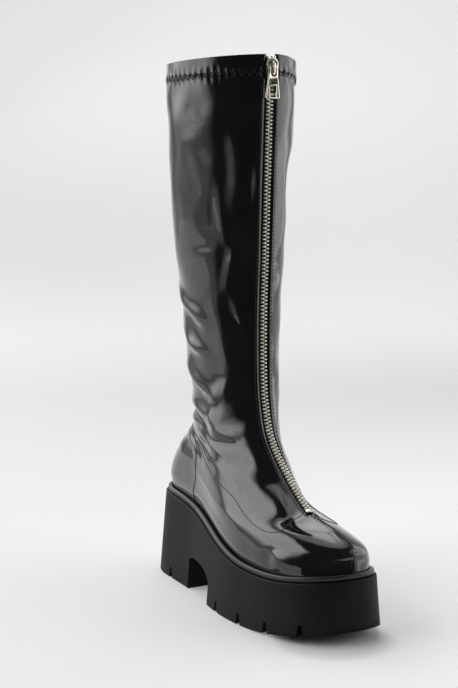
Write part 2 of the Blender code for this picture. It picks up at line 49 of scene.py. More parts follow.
TO_FRAME = np.array([-129.8967, -4.8044, 0.0])

RING_COLUMNS = ("back_x", "back_z", "front_x", "front_z", "heel_w", "outer_w", "inner_w",
                "nose", "nose_power", "inner_power", "ridge", "heel_cap", "heel_power",
                "mid_y", "front_y", "sag", "inner_drop")
RINGS = (
    # name, back x and z, front x and z, half widths at heel, outer and inner ball, nose length and power,
    # inner power, ridge, heel cap and power, middle's and front's y, share of the rim's bow, inner drop
    ("rim",          0,  80,   262,  57, 29.5,   49, 31.5, 72,  2.5,  2.5,   0, 34,  2.5, 0,   19,    1, 0),
    ("toe_bulge",   -2,  90, 260.3,  65,   31,   51,   33, 72, 2.32,  2.5,   0, 35,  2.5, 0,   19,    1, 0),
    ("toe_curve",   -1,  97,   257, 74.5,  31,   50,   33, 74, 2.25, 2.15,   0, 35,  2.4, 0,   18,  0.9, 0),
    ("toe_top",      1, 104,   239, 84.5, 30.5,   48,   31, 74, 2.35,  1.6, 1.5, 36,  2.3, 0,   15,  0.8, 0),
    ("zip_end",      5, 113,   208,  93, 29.5,   44, 32.3, 70,  2.3, 1.08,   4, 37, 2.15, 0,   10,  0.6, 0),
    ("instep_low",  12, 124,   176, 115, 28.5, 38.5, 34.4, 62, 2.15, 1.13,   4, 38, 2.05, 1,    7, 0.35, 0),
    ("instep_high", 20, 138,   146, 142, 26.5,   35, 32.3, 58,    2, 1.49,   4, 42,    2, 3,    6,  0.1, 0),
    ("ankle",       23, 158,   130, 170, 29.5, 33.5, 31.2, 52,    2, 1.84,   3, 50,    2, 5,    8,    0, 0),
    ("shin_low",    21, 190, 123.5, 200,   34,   35,   33, 51,    2, 1.98, 1.5, 51,    2, 5,  9.5,    0, 0),
    ("shin",        15, 245, 121.5, 250,   39, 39.5,   36, 53,    2,    2,   0, 53,    2, 5, 10.5,    0, 0),
    ("calf_low",     9, 300, 121.5, 302,   44,   44, 38.2, 56,    2,    2,   0, 56,    2, 5,   12,    0, 0),
    ("calf",         3, 360, 122.5, 362,   49,   49, 44.2, 60,    2,    2,   0, 60,    2, 6,   13,    0, 1),
    ("calf_top",     1, 410, 123.5, 416, 51.5, 51.5, 47.1, 61,    2,    2,   0, 61,    2, 7,   14,    0, 5),
    ("collar",       2, 452, 124.5, 465,   52,   52,   48, 61,    2,    2,   0, 61,    2, 7,   15,    0, 11),
)
RING_TABLE = np.array([row[1:] for row in RINGS])
COLLAR_ROW = 13.0
ZIP_END_ROW = 4.0
RIM_X = (0.0, 55.0, 100.0, 140.0, 170.0, 225.0, 262.0)
RIM_Z = (80.0, 77.0, 69.0, 59.0, 53.0, 51.5, 57.0)
WIDEN_FROM = 0.25
WIDEN_TO = 0.70
SWING_FROM = 0.30
TINY = 1e-6
WALL = 1.8
GAP = 0.3
HEM_ROW = 12.70
HEM_STEP = 0.5
SLOT_HALF = 4.5
WELT_HEIGHT = 5.0
WELT_WIDTH = 3.8

# The photo's view: a pinhole on a 36 mm high sensor.  The bearing is the camera's, seen from the boot.
VIEW_BEARING = -26.5
CAMERA_AT = (1.2637, -0.6618, 0.455)
CAMERA_TURN = (80.756, 0.0, 63.5)
CAMERA_LENS = 89.38
SENSOR_HEIGHT = 36.0


def make_camera():
    data = bpy.data.cameras.new("camera")
    data.sensor_fit = "VERTICAL"
    data.sensor_height = SENSOR_HEIGHT
    data.lens = CAMERA_LENS
    camera = bpy.data.objects.new("camera", data)
    camera.location = CAMERA_AT
    camera.rotation_euler = [math.radians(turn) for turn in CAMERA_TURN]
    bpy.context.scene.collection.objects.link(camera)
    bpy.context.scene.camera = camera


# Node trees

def sum_method(operation, swapped=False):
    """A method for Wire that adds a Math node; swapped puts the other value first."""
    def method(self, other):
        return self.math(operation, other, self) if swapped else self.math(operation, self, other)
    return method


class Wire:
    """A node's output that can stand in sums; each sum adds a Math node to its tree."""

    def __init__(self, nodes, socket):
        self.nodes = nodes
        self.socket = socket

    def math(self, operation, first, second):
        return self.nodes.add("ShaderNodeMath", {"operation": operation}, {0: first, 1: second})

    __add__ = sum_method("ADD")
    __radd__ = sum_method("ADD", True)
    __sub__ = sum_method("SUBTRACT")
    __rsub__ = sum_method("SUBTRACT", True)
    __mul__ = sum_method("MULTIPLY")
    __rmul__ = sum_method("MULTIPLY", True)
    __truediv__ = sum_method("DIVIDE")
    __pow__ = sum_method("POWER")


class Nodes:
    """One node tree, filled node by node."""

    def __init__(self, tree):
        self.tree = tree

    def add(self, kind, settings=None, sockets=None, output=0):
        """A node of one kind: its settings first, then values or links for its sockets."""
        node = self.tree.nodes.new(kind)
        for name, value in (settings or {}).items():
            setattr(node, name, value)
        for name, value in (sockets or {}).items():
            if isinstance(value, Wire):
                self.tree.links.new(value.socket, node.inputs[name])
            else:
                node.inputs[name].default_value = value
        return Wire(self, node.outputs[output]) if node.outputs else node

    def noise(self, where, scale, detail=3.0, roughness=0.5):
        """Soft random value from 0 to 1; scale is in grains per metre."""
        return self.add("ShaderNodeTexNoise", {}, {"Vector": where, "Scale": scale, "Detail": detail,
                                                   "Roughness": roughness})

    def waves(self, where, direction, scale, **more):
        """Even bands from 0 to 1 across a direction."""
        return self.add("ShaderNodeTexWave", {"wave_type": "BANDS", "bands_direction": direction},
                        dict(more, Vector=where, Scale=scale), 1)

    def ramp(self, value, low, high):
        """0 below low, 1 above high, smooth between."""
        return self.add("ShaderNodeMapRange", {"interpolation_type": "SMOOTHSTEP"},
                        {"Value": value, "From Min": low, "From Max": high})

    def blend(self, share, first, second):
        """Colour between two colours."""
        return self.add("ShaderNodeMix", {"data_type": "RGBA"}, {0: share, 6: first, 7: second}, 2)

    def bump(self, height, distance, strength=1.0, under=None):
        sockets = {"Height": height, "Distance": distance, "Strength": strength}
        if under is not None:
            sockets["Normal"] = under
        return self.add("ShaderNodeBump", {}, sockets)


def make_finish(name, paint, **constants):
    """A Principled material: constants on its sockets, and paint's links for what changes."""
    material = bpy.data.materials.new(name)
    material.use_nodes = True
    nodes = Nodes(material.node_tree)
    shader = material.node_tree.nodes["Principled BSDF"]
    for key, value in constants.items():
        shader.inputs[key.replace("_", " ")].default_value = value
    where = nodes.add("ShaderNodeTexCoord", output=3)
    for socket, wire in paint(nodes, where).items():
        material.node_tree.links.new(wire.socket, shader.inputs[socket])
    return material


def paint_patent(nodes, where):
    """Black patent: a clear film over soft leather, faintly wavy, with dust and handling haze."""
    waves = nodes.noise(where, 38.0, 2.0, 0.45)
    grain = nodes.noise(where, 420.0, 2.0, 0.5)
    haze = nodes.ramp(nodes.noise(where, 26.0, 4.0, 0.6), 0.45, 0.75)
    soft = nodes.bump(waves, 0.0016, 0.5)
    return {
        "Base Color": nodes.blend(haze, (0.006, 0.006, 0.007, 1.0), (0.012, 0.012, 0.013, 1.0)),
        "Roughness": 0.055 + 0.05 * haze,
        "Normal": nodes.bump(grain, 0.00005, 0.6, soft),
    }


def paint_lining(nodes, where):
    """Black knitted lining."""
    knit = nodes.waves(where, "DIAGONAL", 260.0, Distortion=1.5, Detail=1.0)
    fuzz = nodes.noise(where, 900.0, 3.0, 0.6)
    return {
        "Base Color": nodes.blend(fuzz, (0.012, 0.012, 0.013, 1.0), (0.035, 0.034, 0.034, 1.0)),
        "Normal": nodes.bump(knit * 0.6 + fuzz * 0.4, 0.0004, 0.7),
    }


def paint_sole(nodes, where):
    """Matte black moulded rubber: fine grain, faint moulding bands and dusty patches."""
    grain = nodes.noise(where, 1500.0, 3.0, 0.6)
    patches = nodes.noise(where, 22.0, 4.0, 0.6)
    bands = nodes.waves(where, "Z", 55.0, Distortion=0.8, Detail=2.0)
    return {
        "Base Color": nodes.blend(nodes.ramp(patches * 0.7 + grain * 0.3, 0.35, 0.7),
                                  (0.003, 0.003, 0.0033, 1.0), (0.0075, 0.0075, 0.008, 1.0)),
        "Roughness": 0.50 + 0.20 * grain,
        "Normal": nodes.bump(grain * 0.7 + bands * 0.3, 0.0003, 0.8),
    }


def paint_welt(nodes, where):
    """Satin black bead."""
    grain = nodes.noise(where, 700.0, 3.0, 0.5)
    dust = nodes.noise(where, 40.0, 4.0, 0.6)
    return {
        "Base Color": nodes.blend(dust, (0.010, 0.010, 0.011, 1.0), (0.020, 0.020, 0.021, 1.0)),
        "Roughness": 0.30 + 0.14 * dust,
        "Normal": nodes.bump(grain, 0.00008, 0.5),
    }


def paint_cloth(nodes, where):
    """Black woven cloth, for the zip's tape and the insole."""
    over = nodes.waves(where, "Z", 330.0, Distortion=0.4)
    under = nodes.waves(where, "Y", 330.0, Distortion=0.4)
    weave = over * 0.5 + under * 0.5
    return {
        "Base Color": nodes.blend(weave, (0.006, 0.006, 0.007, 1.0), (0.020, 0.020, 0.021, 1.0)),
        "Normal": nodes.bump(weave, 0.00025, 0.8),
    }


def paint_metal(nodes, where):
    """Pale nickel, a little brushed and tarnished."""
    scuff = nodes.noise(where, 700.0, 4.0, 0.65)
    tarnish = nodes.ramp(nodes.noise(where, 130.0, 3.0, 0.6), 0.4, 0.8)
    return {
        "Base Color": nodes.blend(tarnish, (0.95, 0.90, 0.81, 1.0), (0.80, 0.73, 0.62, 1.0)),
        "Normal": nodes.bump(scuff, 0.00003, 0.4),
    }


def paint_shaded_metal(nodes, where):
    """Sunk faces of the slider and pull: a darker copy of the metal, painted shade and reflection in the
    recesses.
    """
    cloud = nodes.noise(where, 900.0, 3.0, 0.6)
    return {"Base Color": nodes.blend(cloud, (0.16, 0.145, 0.12, 1.0), (0.27, 0.245, 0.205, 1.0))}


def paint_thread(nodes, where):
    """Black bonded thread with its twist."""
    twist = nodes.waves(where, "DIAGONAL", 900.0)
    return {
        "Base Color": nodes.blend(twist, (0.010, 0.010, 0.011, 1.0), (0.026, 0.026, 0.028, 1.0)),
        "Normal": nodes.bump(twist, 0.0001, 0.7),
    }


# Floor and backdrop colours, blended as painted light: the floor is lighter at the front and to the right and
# darker behind, and the backdrop is lighter again.
FLOOR_LIGHT = (0.86, 0.86, 0.865, 1.0)
FLOOR_DIM = (0.44, 0.44, 0.445, 1.0)
FLOOR_FAR_LEFT = (0.54, 0.54, 0.545, 1.0)
FLOOR_FAR_RIGHT = (0.68, 0.68, 0.685, 1.0)
BACKDROP = (0.84, 0.84, 0.845, 1.0)
NO_FILL = (0.0, 0.0, 0.0, 1.0)
FILL = (1.0, 1.0, 1.0, 1.0)
# The toe's place along the boot and the reach of its painted contact shadow on the floor, where the floor's
# painted glow is left out, in metres.
TOE_X = 0.125
TOE_SHADE = 0.05


def paint_floor(nodes, where):
    """Pale studio floor and backdrop, evened out from front to back with painted light: lighter at the front
    and to the right, darker behind; the floor's painted glow is left out under the toe as a painted contact
    shadow.
    """
    across, along, height = [nodes.add("ShaderNodeSeparateXYZ", {}, {0: where}, axis) for axis in range(3)]
    turn = math.radians(VIEW_BEARING)
    away = -math.cos(turn) * across - math.sin(turn) * along
    side = math.cos(turn) * along - math.sin(turn) * across
    behind = nodes.ramp(away, -0.4, 1.15)
    right = nodes.ramp(side, -0.35, 0.35)
    cloud = nodes.noise(where, 1.3, 2.0, 0.5)
    share = behind + (1.0 - behind) * (0.60 - 0.5 * right) + 0.04 * cloud
    floor = nodes.blend(share, FLOOR_LIGHT, FLOOR_DIM)
    far = nodes.blend(nodes.ramp(side, -0.45, 0.45), FLOOR_FAR_LEFT, FLOOR_FAR_RIGHT)
    floor = nodes.blend(nodes.ramp(away, 0.8, 1.8), floor, far)
    # Painted contact shadow: the floor's glow, a painted fill light, is switched off near the toe.
    from_toe = ((across - TOE_X) ** 2 + along ** 2) / TOE_SHADE ** 2
    return {
        "Base Color": nodes.blend(nodes.ramp(height, 0.05, 0.45), floor, BACKDROP),
        "Emission Color": nodes.blend(nodes.ramp(from_toe, 0.4, 1.2), NO_FILL, FILL),
    }


FINISHES = {
    "patent": make_finish("patent", paint_patent, IOR=1.52, Coat_Weight=0.6, Coat_Roughness=0.03),
    "lining": make_finish("lining", paint_lining, Roughness=0.9),
    "sole": make_finish("sole", paint_sole, Specular_IOR_Level=0.18),
    "welt": make_finish("welt", paint_welt),
    "tape": make_finish("tape", paint_cloth, Roughness=0.85),
    "insole": make_finish("insole", paint_cloth, Roughness=0.9),
    "metal": make_finish("metal", paint_metal, Metallic=1.0, Roughness=0.22),
    # A darker copy of the metal for sunk faces: painted shade and reflection.
    "metal_painted_shade": make_finish("metal_painted_shade", paint_shaded_metal, Metallic=1.0, Roughness=0.4),
    "teeth": make_finish("teeth", paint_metal, Metallic=0.6, Roughness=0.4),
    "thread": make_finish("thread", paint_thread, Roughness=0.45),
    # The floor glows faintly as painted fill light, except near the toe.
    "floor": make_finish("floor", paint_floor, Roughness=0.8, Specular_IOR_Level=0.1, Emission_Strength=0.15),
}


# The upper's shape

def through(knots, values, at):
    """Smooth curve through a table's rows, evaluated at each place in at."""
    knots = np.asarray(knots, float)
    values = np.asarray(values, float)
    at = np.atleast_1d(at)
    width = np.diff(knots)[:, None]
    slope = np.diff(values, axis=0) / width
    tangent = np.empty_like(values)
    tangent[1:-1] = (slope[:-1] * width[1:] + slope[1:] * width[:-1]) / (width[1:] + width[:-1])
    tangent[0] = slope[0]
    tangent[-1] = slope[-1]
    row = np.clip(np.searchsorted(knots, at, side="right") - 1, 0, len(knots) - 2)
    span = (knots[row + 1] - knots[row])[:, None]
    s = (at - knots[row])[:, None] / span
    start = (2 * s**3 - 3 * s**2 + 1) * values[row]
    leave = (s**3 - 2 * s**2 + s) * span * tangent[row]
    end = (3 * s**2 - 2 * s**3) * values[row + 1]
    arrive = (s**3 - s**2) * span * tangent[row + 1]
    return start + leave + end + arrive


def ease(low, high, at):
    """0 below low, 1 above high, smooth between."""
    t = np.clip((at - low) / (high - low), 0.0, 1.0)
    return t * t * (3.0 - 2.0 * t)


def rim_bow(t):
    """Height of the upper's lower edge over its straight chord, t from heel to toe."""
    heights = through(RIM_X, np.array(RIM_Z)[:, None], np.ravel(t) * RIM_X[-1])[:, 0].reshape(np.shape(t))
    return heights - (RIM_Z[0] + (RIM_Z[-1] - RIM_Z[0]) * t)


def ring_values(rows):
    """The named columns of the ring table at row numbers that may lie between rows."""
    values = through(np.arange(len(RINGS)), RING_TABLE, np.ravel(rows))
    return {name: values[:, k].reshape(np.shape(rows)) for k, name in enumerate(RING_COLUMNS)}


def ring_half_width(ring, u):
    """Half width of rings at angles u: 0 at the back, pi at the front, outer side first."""
    length = ring["front_x"] - ring["back_x"]
    along = length * (1.0 - np.cos(u)) / 2.0
    outer = np.sin(u) >= 0.0
    ball = np.where(outer, ring["outer_w"], ring["inner_w"])
    half = ring["heel_w"] + (ball - ring["heel_w"]) * ease(WIDEN_FROM * length, WIDEN_TO * length, along)
    heel = np.clip(1.0 - along / ring["heel_cap"], 0.0, 1.0)
    half *= (1.0 - heel ** ring["heel_power"]) ** (1.0 / ring["heel_power"])
    nose = np.clip(1.0 - (length - along) / ring["nose"], 0.0, 1.0)
    power = np.where(outer, ring["nose_power"], ring["inner_power"])
    half *= (1.0 - nose**power) ** (1.0 / power)
    ridge = np.where(outer, 0.0, np.maximum(ring["ridge"], 0.0))
    blunt = np.clip(1.0 - (length - along) / np.maximum(ridge, TINY), 0.0, 1.0)
    return np.hypot(half, ridge * np.sqrt(1.0 - blunt**2))


def upper_points(rows, u):
    """Points on the smooth outside of the upper at rows and angles of the same shape."""
    rows = np.broadcast_to(rows, np.shape(u))
    ring = ring_values(rows)
    t = (1.0 - np.cos(u)) / 2.0
    length = ring["front_x"] - ring["back_x"]
    x = ring["back_x"] + length * t
    z = ring["back_z"] + (ring["front_z"] - ring["back_z"]) * t + ring["sag"] * rim_bow(t)
    z -= ring["inner_drop"] * np.minimum(np.sin(u), 0.0) ** 2
    side = np.where(np.sin(u) >= 0.0, -1.0, 1.0)
    swing = ease(SWING_FROM * length, length, length * t)
    y = ring["mid_y"] + (ring["front_y"] - ring["mid_y"]) * swing + side * ring_half_width(ring, u)
    return np.stack([x, y, z], axis=-1)


def unit(vectors):
    return vectors / np.linalg.norm(vectors, axis=-1, keepdims=True)


def upper_normals(rows, u):
    """Outward normals of the smooth upper."""
    small = 1e-3
    around = upper_points(rows, u + small) - upper_points(rows, u - small)
    upward = upper_points(rows + small, u) - upper_points(rows - small, u)
    return unit(np.cross(around, upward))


def angle_at_width(rows, wanted, outer):
    """Angles near the front where rings' half widths have the wanted value."""
    ring = ring_values(rows)
    low = np.zeros(np.shape(rows))
    high = np.full(np.shape(rows), 0.5 * math.pi)
    for _ in range(40):
        middle = 0.5 * (low + high)
        narrow = ring_half_width(ring, math.pi - middle if outer else math.pi + middle) < wanted
        low = np.where(narrow, middle, low)
        high = np.where(narrow, high, middle)
    return math.pi - high if outer else math.pi + high


# Meshes

def add_piece(name, mesh, finish, smooth_below=50.0):
    """Put a mesh in metres into the scene with its finish, soft edges smoothed."""
    mesh.shade_smooth()
    mesh.set_sharp_from_angle(angle=math.radians(smooth_below))
    mesh.materials.clear()
    mesh.materials.append(FINISHES[finish])
    piece = bpy.data.objects.new(name, mesh)
    bpy.context.scene.collection.objects.link(piece)
    return piece


def shell(points, faces):
    """A bmesh of points in millimetres and faces that name them, moved into the model's frame."""
    work = bmesh.new()
    places = (np.asarray(points, float) + TO_FRAME) * MM
    corners = [work.verts.new(place) for place in places]
    for face in faces:
        work.faces.new([corners[k] for k in face])
    return work


def close_shell(name, work):
    """A mesh from a closed bmesh, with its faces turned outwards."""
    bmesh.ops.recalc_face_normals(work, faces=work.faces)
    mesh = bpy.data.meshes.new(name)
    work.to_mesh(mesh)
    work.free()
    return mesh


def evaluated_mesh(thing):
    """Plain mesh of an object with its modifiers applied; the object is removed."""
    bpy.context.view_layer.update()
    graph = bpy.context.evaluated_depsgraph_get()
    mesh = bpy.data.meshes.new_from_object(thing.evaluated_get(graph))
    old = thing.data
    bpy.data.objects.remove(thing)
    bpy.data.meshes.remove(old)
    return mesh


def scratch_object(name, mesh):
    thing = bpy.data.objects.new(name, mesh)
    bpy.context.scene.collection.objects.link(thing)
    return thing


def combine(name, mesh, other, operation):
    """Exact boolean of two meshes."""
    thing = scratch_object(name, mesh)
    tool = scratch_object(name + "_tool", other)
    step = thing.modifiers.new("cut", "BOOLEAN")
    step.operation = operation
    step.solver = "EXACT"
    step.object = tool
    mesh = evaluated_mesh(thing)
    bpy.data.objects.remove(tool)
    bpy.data.meshes.remove(other)
    return mesh


def rounded(name, mesh, width, segments=2, sharper_than=35.0):
    """Mesh with its sharp edges rounded off by a bevel of some millimetres."""
    thing = scratch_object(name, mesh)
    step = thing.modifiers.new("round", "BEVEL")
    step.width = width * MM
    step.segments = segments
    step.limit_method = "ANGLE"
    step.angle_limit = math.radians(sharper_than)
    step.use_clamp_overlap = True
    return evaluated_mesh(thing)


def on_body(piece, body, slot, *nodes):
    """Let a piece ride on a body and stand for the nodes it replaces, which are hidden; slot is not used."""
    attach(piece, body)
    if nodes:
        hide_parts(*nodes)


# Units along a path, by Geometry Nodes

PATH_SIZES = ("Spacing", "Length", "Width", "Height", "Side", "Swing", "Wobble")
CORD_SIDES = 6


def start_tree(name, inputs):
    """A node group that takes a path, named inputs and a finish: its nodes, inputs and the path's curve."""
    tree = bpy.data.node_groups.new(name, "GeometryNodeTree")
    for title, kind in [("Path", "Geometry")] + inputs + [("Finish", "Material")]:
        tree.interface.new_socket(title, in_out="INPUT", socket_type="NodeSocket" + kind)
    tree.interface.new_socket("Grown", in_out="OUTPUT", socket_type="NodeSocketGeometry")
    nodes = Nodes(tree)
    entry = tree.nodes.new("NodeGroupInput")
    given = {socket.name: Wire(nodes, socket) for socket in entry.outputs if socket.name}
    return nodes, given, nodes.add("GeometryNodeMeshToCurve", {}, {"Mesh": given["Path"]})


def end_tree(nodes, geometry, finish):
    """The node group, ended with real geometry in its finish."""
    real = nodes.add("GeometryNodeRealizeInstances", {}, {"Geometry": geometry})
    done = nodes.add("GeometryNodeSetMaterial", {}, {"Geometry": real, "Material": finish})
    leave = nodes.tree.nodes.new("NodeGroupOutput")
    nodes.tree.links.new(done.socket, leave.inputs[0])
    return nodes.tree


def make_path_tree():
    """Units set out along a path.  Every second one stands on the other side and leans the other way."""
    inputs = [(name, "Float") for name in PATH_SIZES] + [("Seed", "Int"), ("Unit", "Object")]
    nodes, given, curve = start_tree("units_on_path", inputs)
    spots = nodes.add("GeometryNodeResampleCurve", {"mode": "LENGTH"},
                      {"Curve": curve, "Length": given["Spacing"]})
    out = nodes.add("GeometryNodeInputNamedAttribute", {"data_type": "FLOAT_VECTOR"}, {"Name": "out"})
    along = nodes.add("GeometryNodeInputTangent")
    across = nodes.add("ShaderNodeVectorMath", {"operation": "CROSS_PRODUCT"}, {0: out, 1: along})
    turn_about = nodes.add("GeometryNodeInputIndex").math("MODULO", nodes.add("GeometryNodeInputIndex"), 2.0)
    sign = turn_about * 2.0 - 1.0
    shift = nodes.add("ShaderNodeVectorMath", {"operation": "SCALE"},
                      {"Vector": across, "Scale": sign * given["Side"]})
    moved = nodes.add("GeometryNodeSetPosition", {}, {"Geometry": spots, "Offset": shift})
    stance = nodes.add("FunctionNodeAxesToRotation", {"primary_axis": "Z", "secondary_axis": "X"},
                       {"Primary Axis": out, "Secondary Axis": along})
    chance = nodes.add("FunctionNodeRandomValue", {"data_type": "FLOAT"},
                       {2: -1.0, 3: 1.0, "Seed": given["Seed"]}, 1)
    lean = nodes.add("FunctionNodeAxisAngleToRotation", {},
                     {"Axis": (0.0, 0.0, 1.0), "Angle": sign * given["Swing"] + chance * given["Wobble"]})
    stance = nodes.add("FunctionNodeRotateRotation", {"rotation_space": "LOCAL"},
                       {"Rotation": stance, "Rotate By": lean})
    size = nodes.add("ShaderNodeCombineXYZ", {}, {0: given["Length"], 1: given["Width"], 2: given["Height"]})
    unit_shape = nodes.add("GeometryNodeObjectInfo", {}, {"Object": given["Unit"]}, 4)
    units = nodes.add("GeometryNodeInstanceOnPoints", {},
                      {"Points": moved, "Instance": unit_shape, "Rotation": stance, "Scale": size})
    return end_tree(nodes, units, given["Finish"])


def make_cord_tree():
    """A round cord along a path."""
    nodes, given, curve = start_tree("cord_on_path", [("Radius", "Float")])
    section = nodes.add("GeometryNodeCurvePrimitiveCircle", {},
                        {"Resolution": CORD_SIDES, "Radius": given["Radius"]})
    cord = nodes.add("GeometryNodeCurveToMesh", {},
                     {"Curve": curve, "Profile Curve": section, "Fill Caps": True})
    return end_tree(nodes, cord, given["Finish"])


def grown(name, paths, tree, given):
    """Mesh that a tree grows along paths; each path is points and outward directions in millimetres."""
    points = []
    outs = []
    edges = []
    for places, directions in paths:
        start = len(points)
        points.extend((np.asarray(places) + TO_FRAME) * MM)
        outs.extend(directions)
        edges.extend((start + k, start + k + 1) for k in range(len(places) - 1))
    mesh = bpy.data.meshes.new(name + "_path")
    mesh.from_pydata(points, edges, [])
    column = mesh.attributes.new("out", "FLOAT_VECTOR", "POINT")
    column.data.foreach_set("vector", np.ravel(outs).astype(np.float32))
    path = scratch_object(name + "_path", mesh)
    step = path.modifiers.new("growth", "NODES")
    step.node_group = tree
    for item in tree.interface.items_tree:
        if item.in_out == "INPUT" and item.name in given:
            step[item.identifier] = given[item.name]
    return evaluated_mesh(path)


def units_on_paths(name, paths, unit_mesh, finish, sizes, seed=7):
    """One piece of units set out along several paths."""
    unit_object = scratch_object(name + "_unit", unit_mesh)
    mesh = grown(name, paths, PATH_TREE, dict(sizes, Seed=seed, Unit=unit_object, Finish=FINISHES[finish]))
    bpy.data.objects.remove(unit_object)
    return add_piece(name, mesh, finish)


def cord_on_paths(name, paths, finish, radius):
    """One piece of cord along several paths."""
    mesh = grown(name, paths, CORD_TREE, {"Radius": radius * MM, "Finish": FINISHES[finish]})
    return add_piece(name, mesh, finish)


CORD_TREE = make_cord_tree()
PATH_TREE = make_path_tree()


def stitch_unit():
    """A stitch of unit length along X: a six-sided thread that dips in at both ends."""
    work = bmesh.new()
    sides = 6
    rings = ((-0.5, 0.35, -0.55), (-0.36, 0.85, 0.0), (-0.12, 1.0, 0.2), (0.12, 1.0, 0.2), (0.36, 0.85, 0.0),
             (0.5, 0.35, -0.55))
    loops = []
    for along, thick, lift in rings:
        loop = []
        for k in range(sides):
            turn = 2.0 * math.pi * k / sides
            place = (along, 0.5 * thick * math.cos(turn), 0.5 * thick * math.sin(turn) + lift)
            loop.append(work.verts.new(place))
        loops.append(loop)
    for first, second in zip(loops, loops[1:]):
        for k in range(sides):
            work.faces.new((first[k], first[(k + 1) % sides], second[(k + 1) % sides], second[k]))
    work.faces.new(loops[0])
    work.faces.new(loops[-1])
    return close_shell("stitch", work)


def tooth_unit():
    """A zip tooth of unit size: a rounded block, thinner towards the middle of the chain."""
    work = bmesh.new()
    bmesh.ops.create_cube(work, size=1.0)
    for corner in work.verts:
        if corner.co.z > 0.0:
            corner.co.x *= 0.72
            corner.co.y *= 0.90
    bmesh.ops.bevel(work, geom=work.edges[:], offset=0.14, segments=1, affect="EDGES")
    return close_shell("tooth", work)


# The fine upper

SIDE_COLUMNS = 123
LINING_STEP = 3
RING_STEPS = (9, 9, 9, 15, 24, 24, 21, 21, 36, 36, 42, 33)
HEM_RINGS = 15
COLLAR_RINGS = 18
# Shares of the way from back to slit at which the last columns before the slit stand.
SLIT_SHARES = (0.990, 0.995, 0.998, 1.0)
SLIT_TURN_IN = 0.9
SLIT_TURN_WIDTH = 2.2
HEM_PITCH = 6.5
HEM_PUCKER = 0.7
HEM_PUCKER_WIDTH = 4.5
HEM_PUCKER_LEAN = 0.15
TOE_SEAM_HEIGHT = 0.9
TOE_SEAM_WIDTH = 1.8

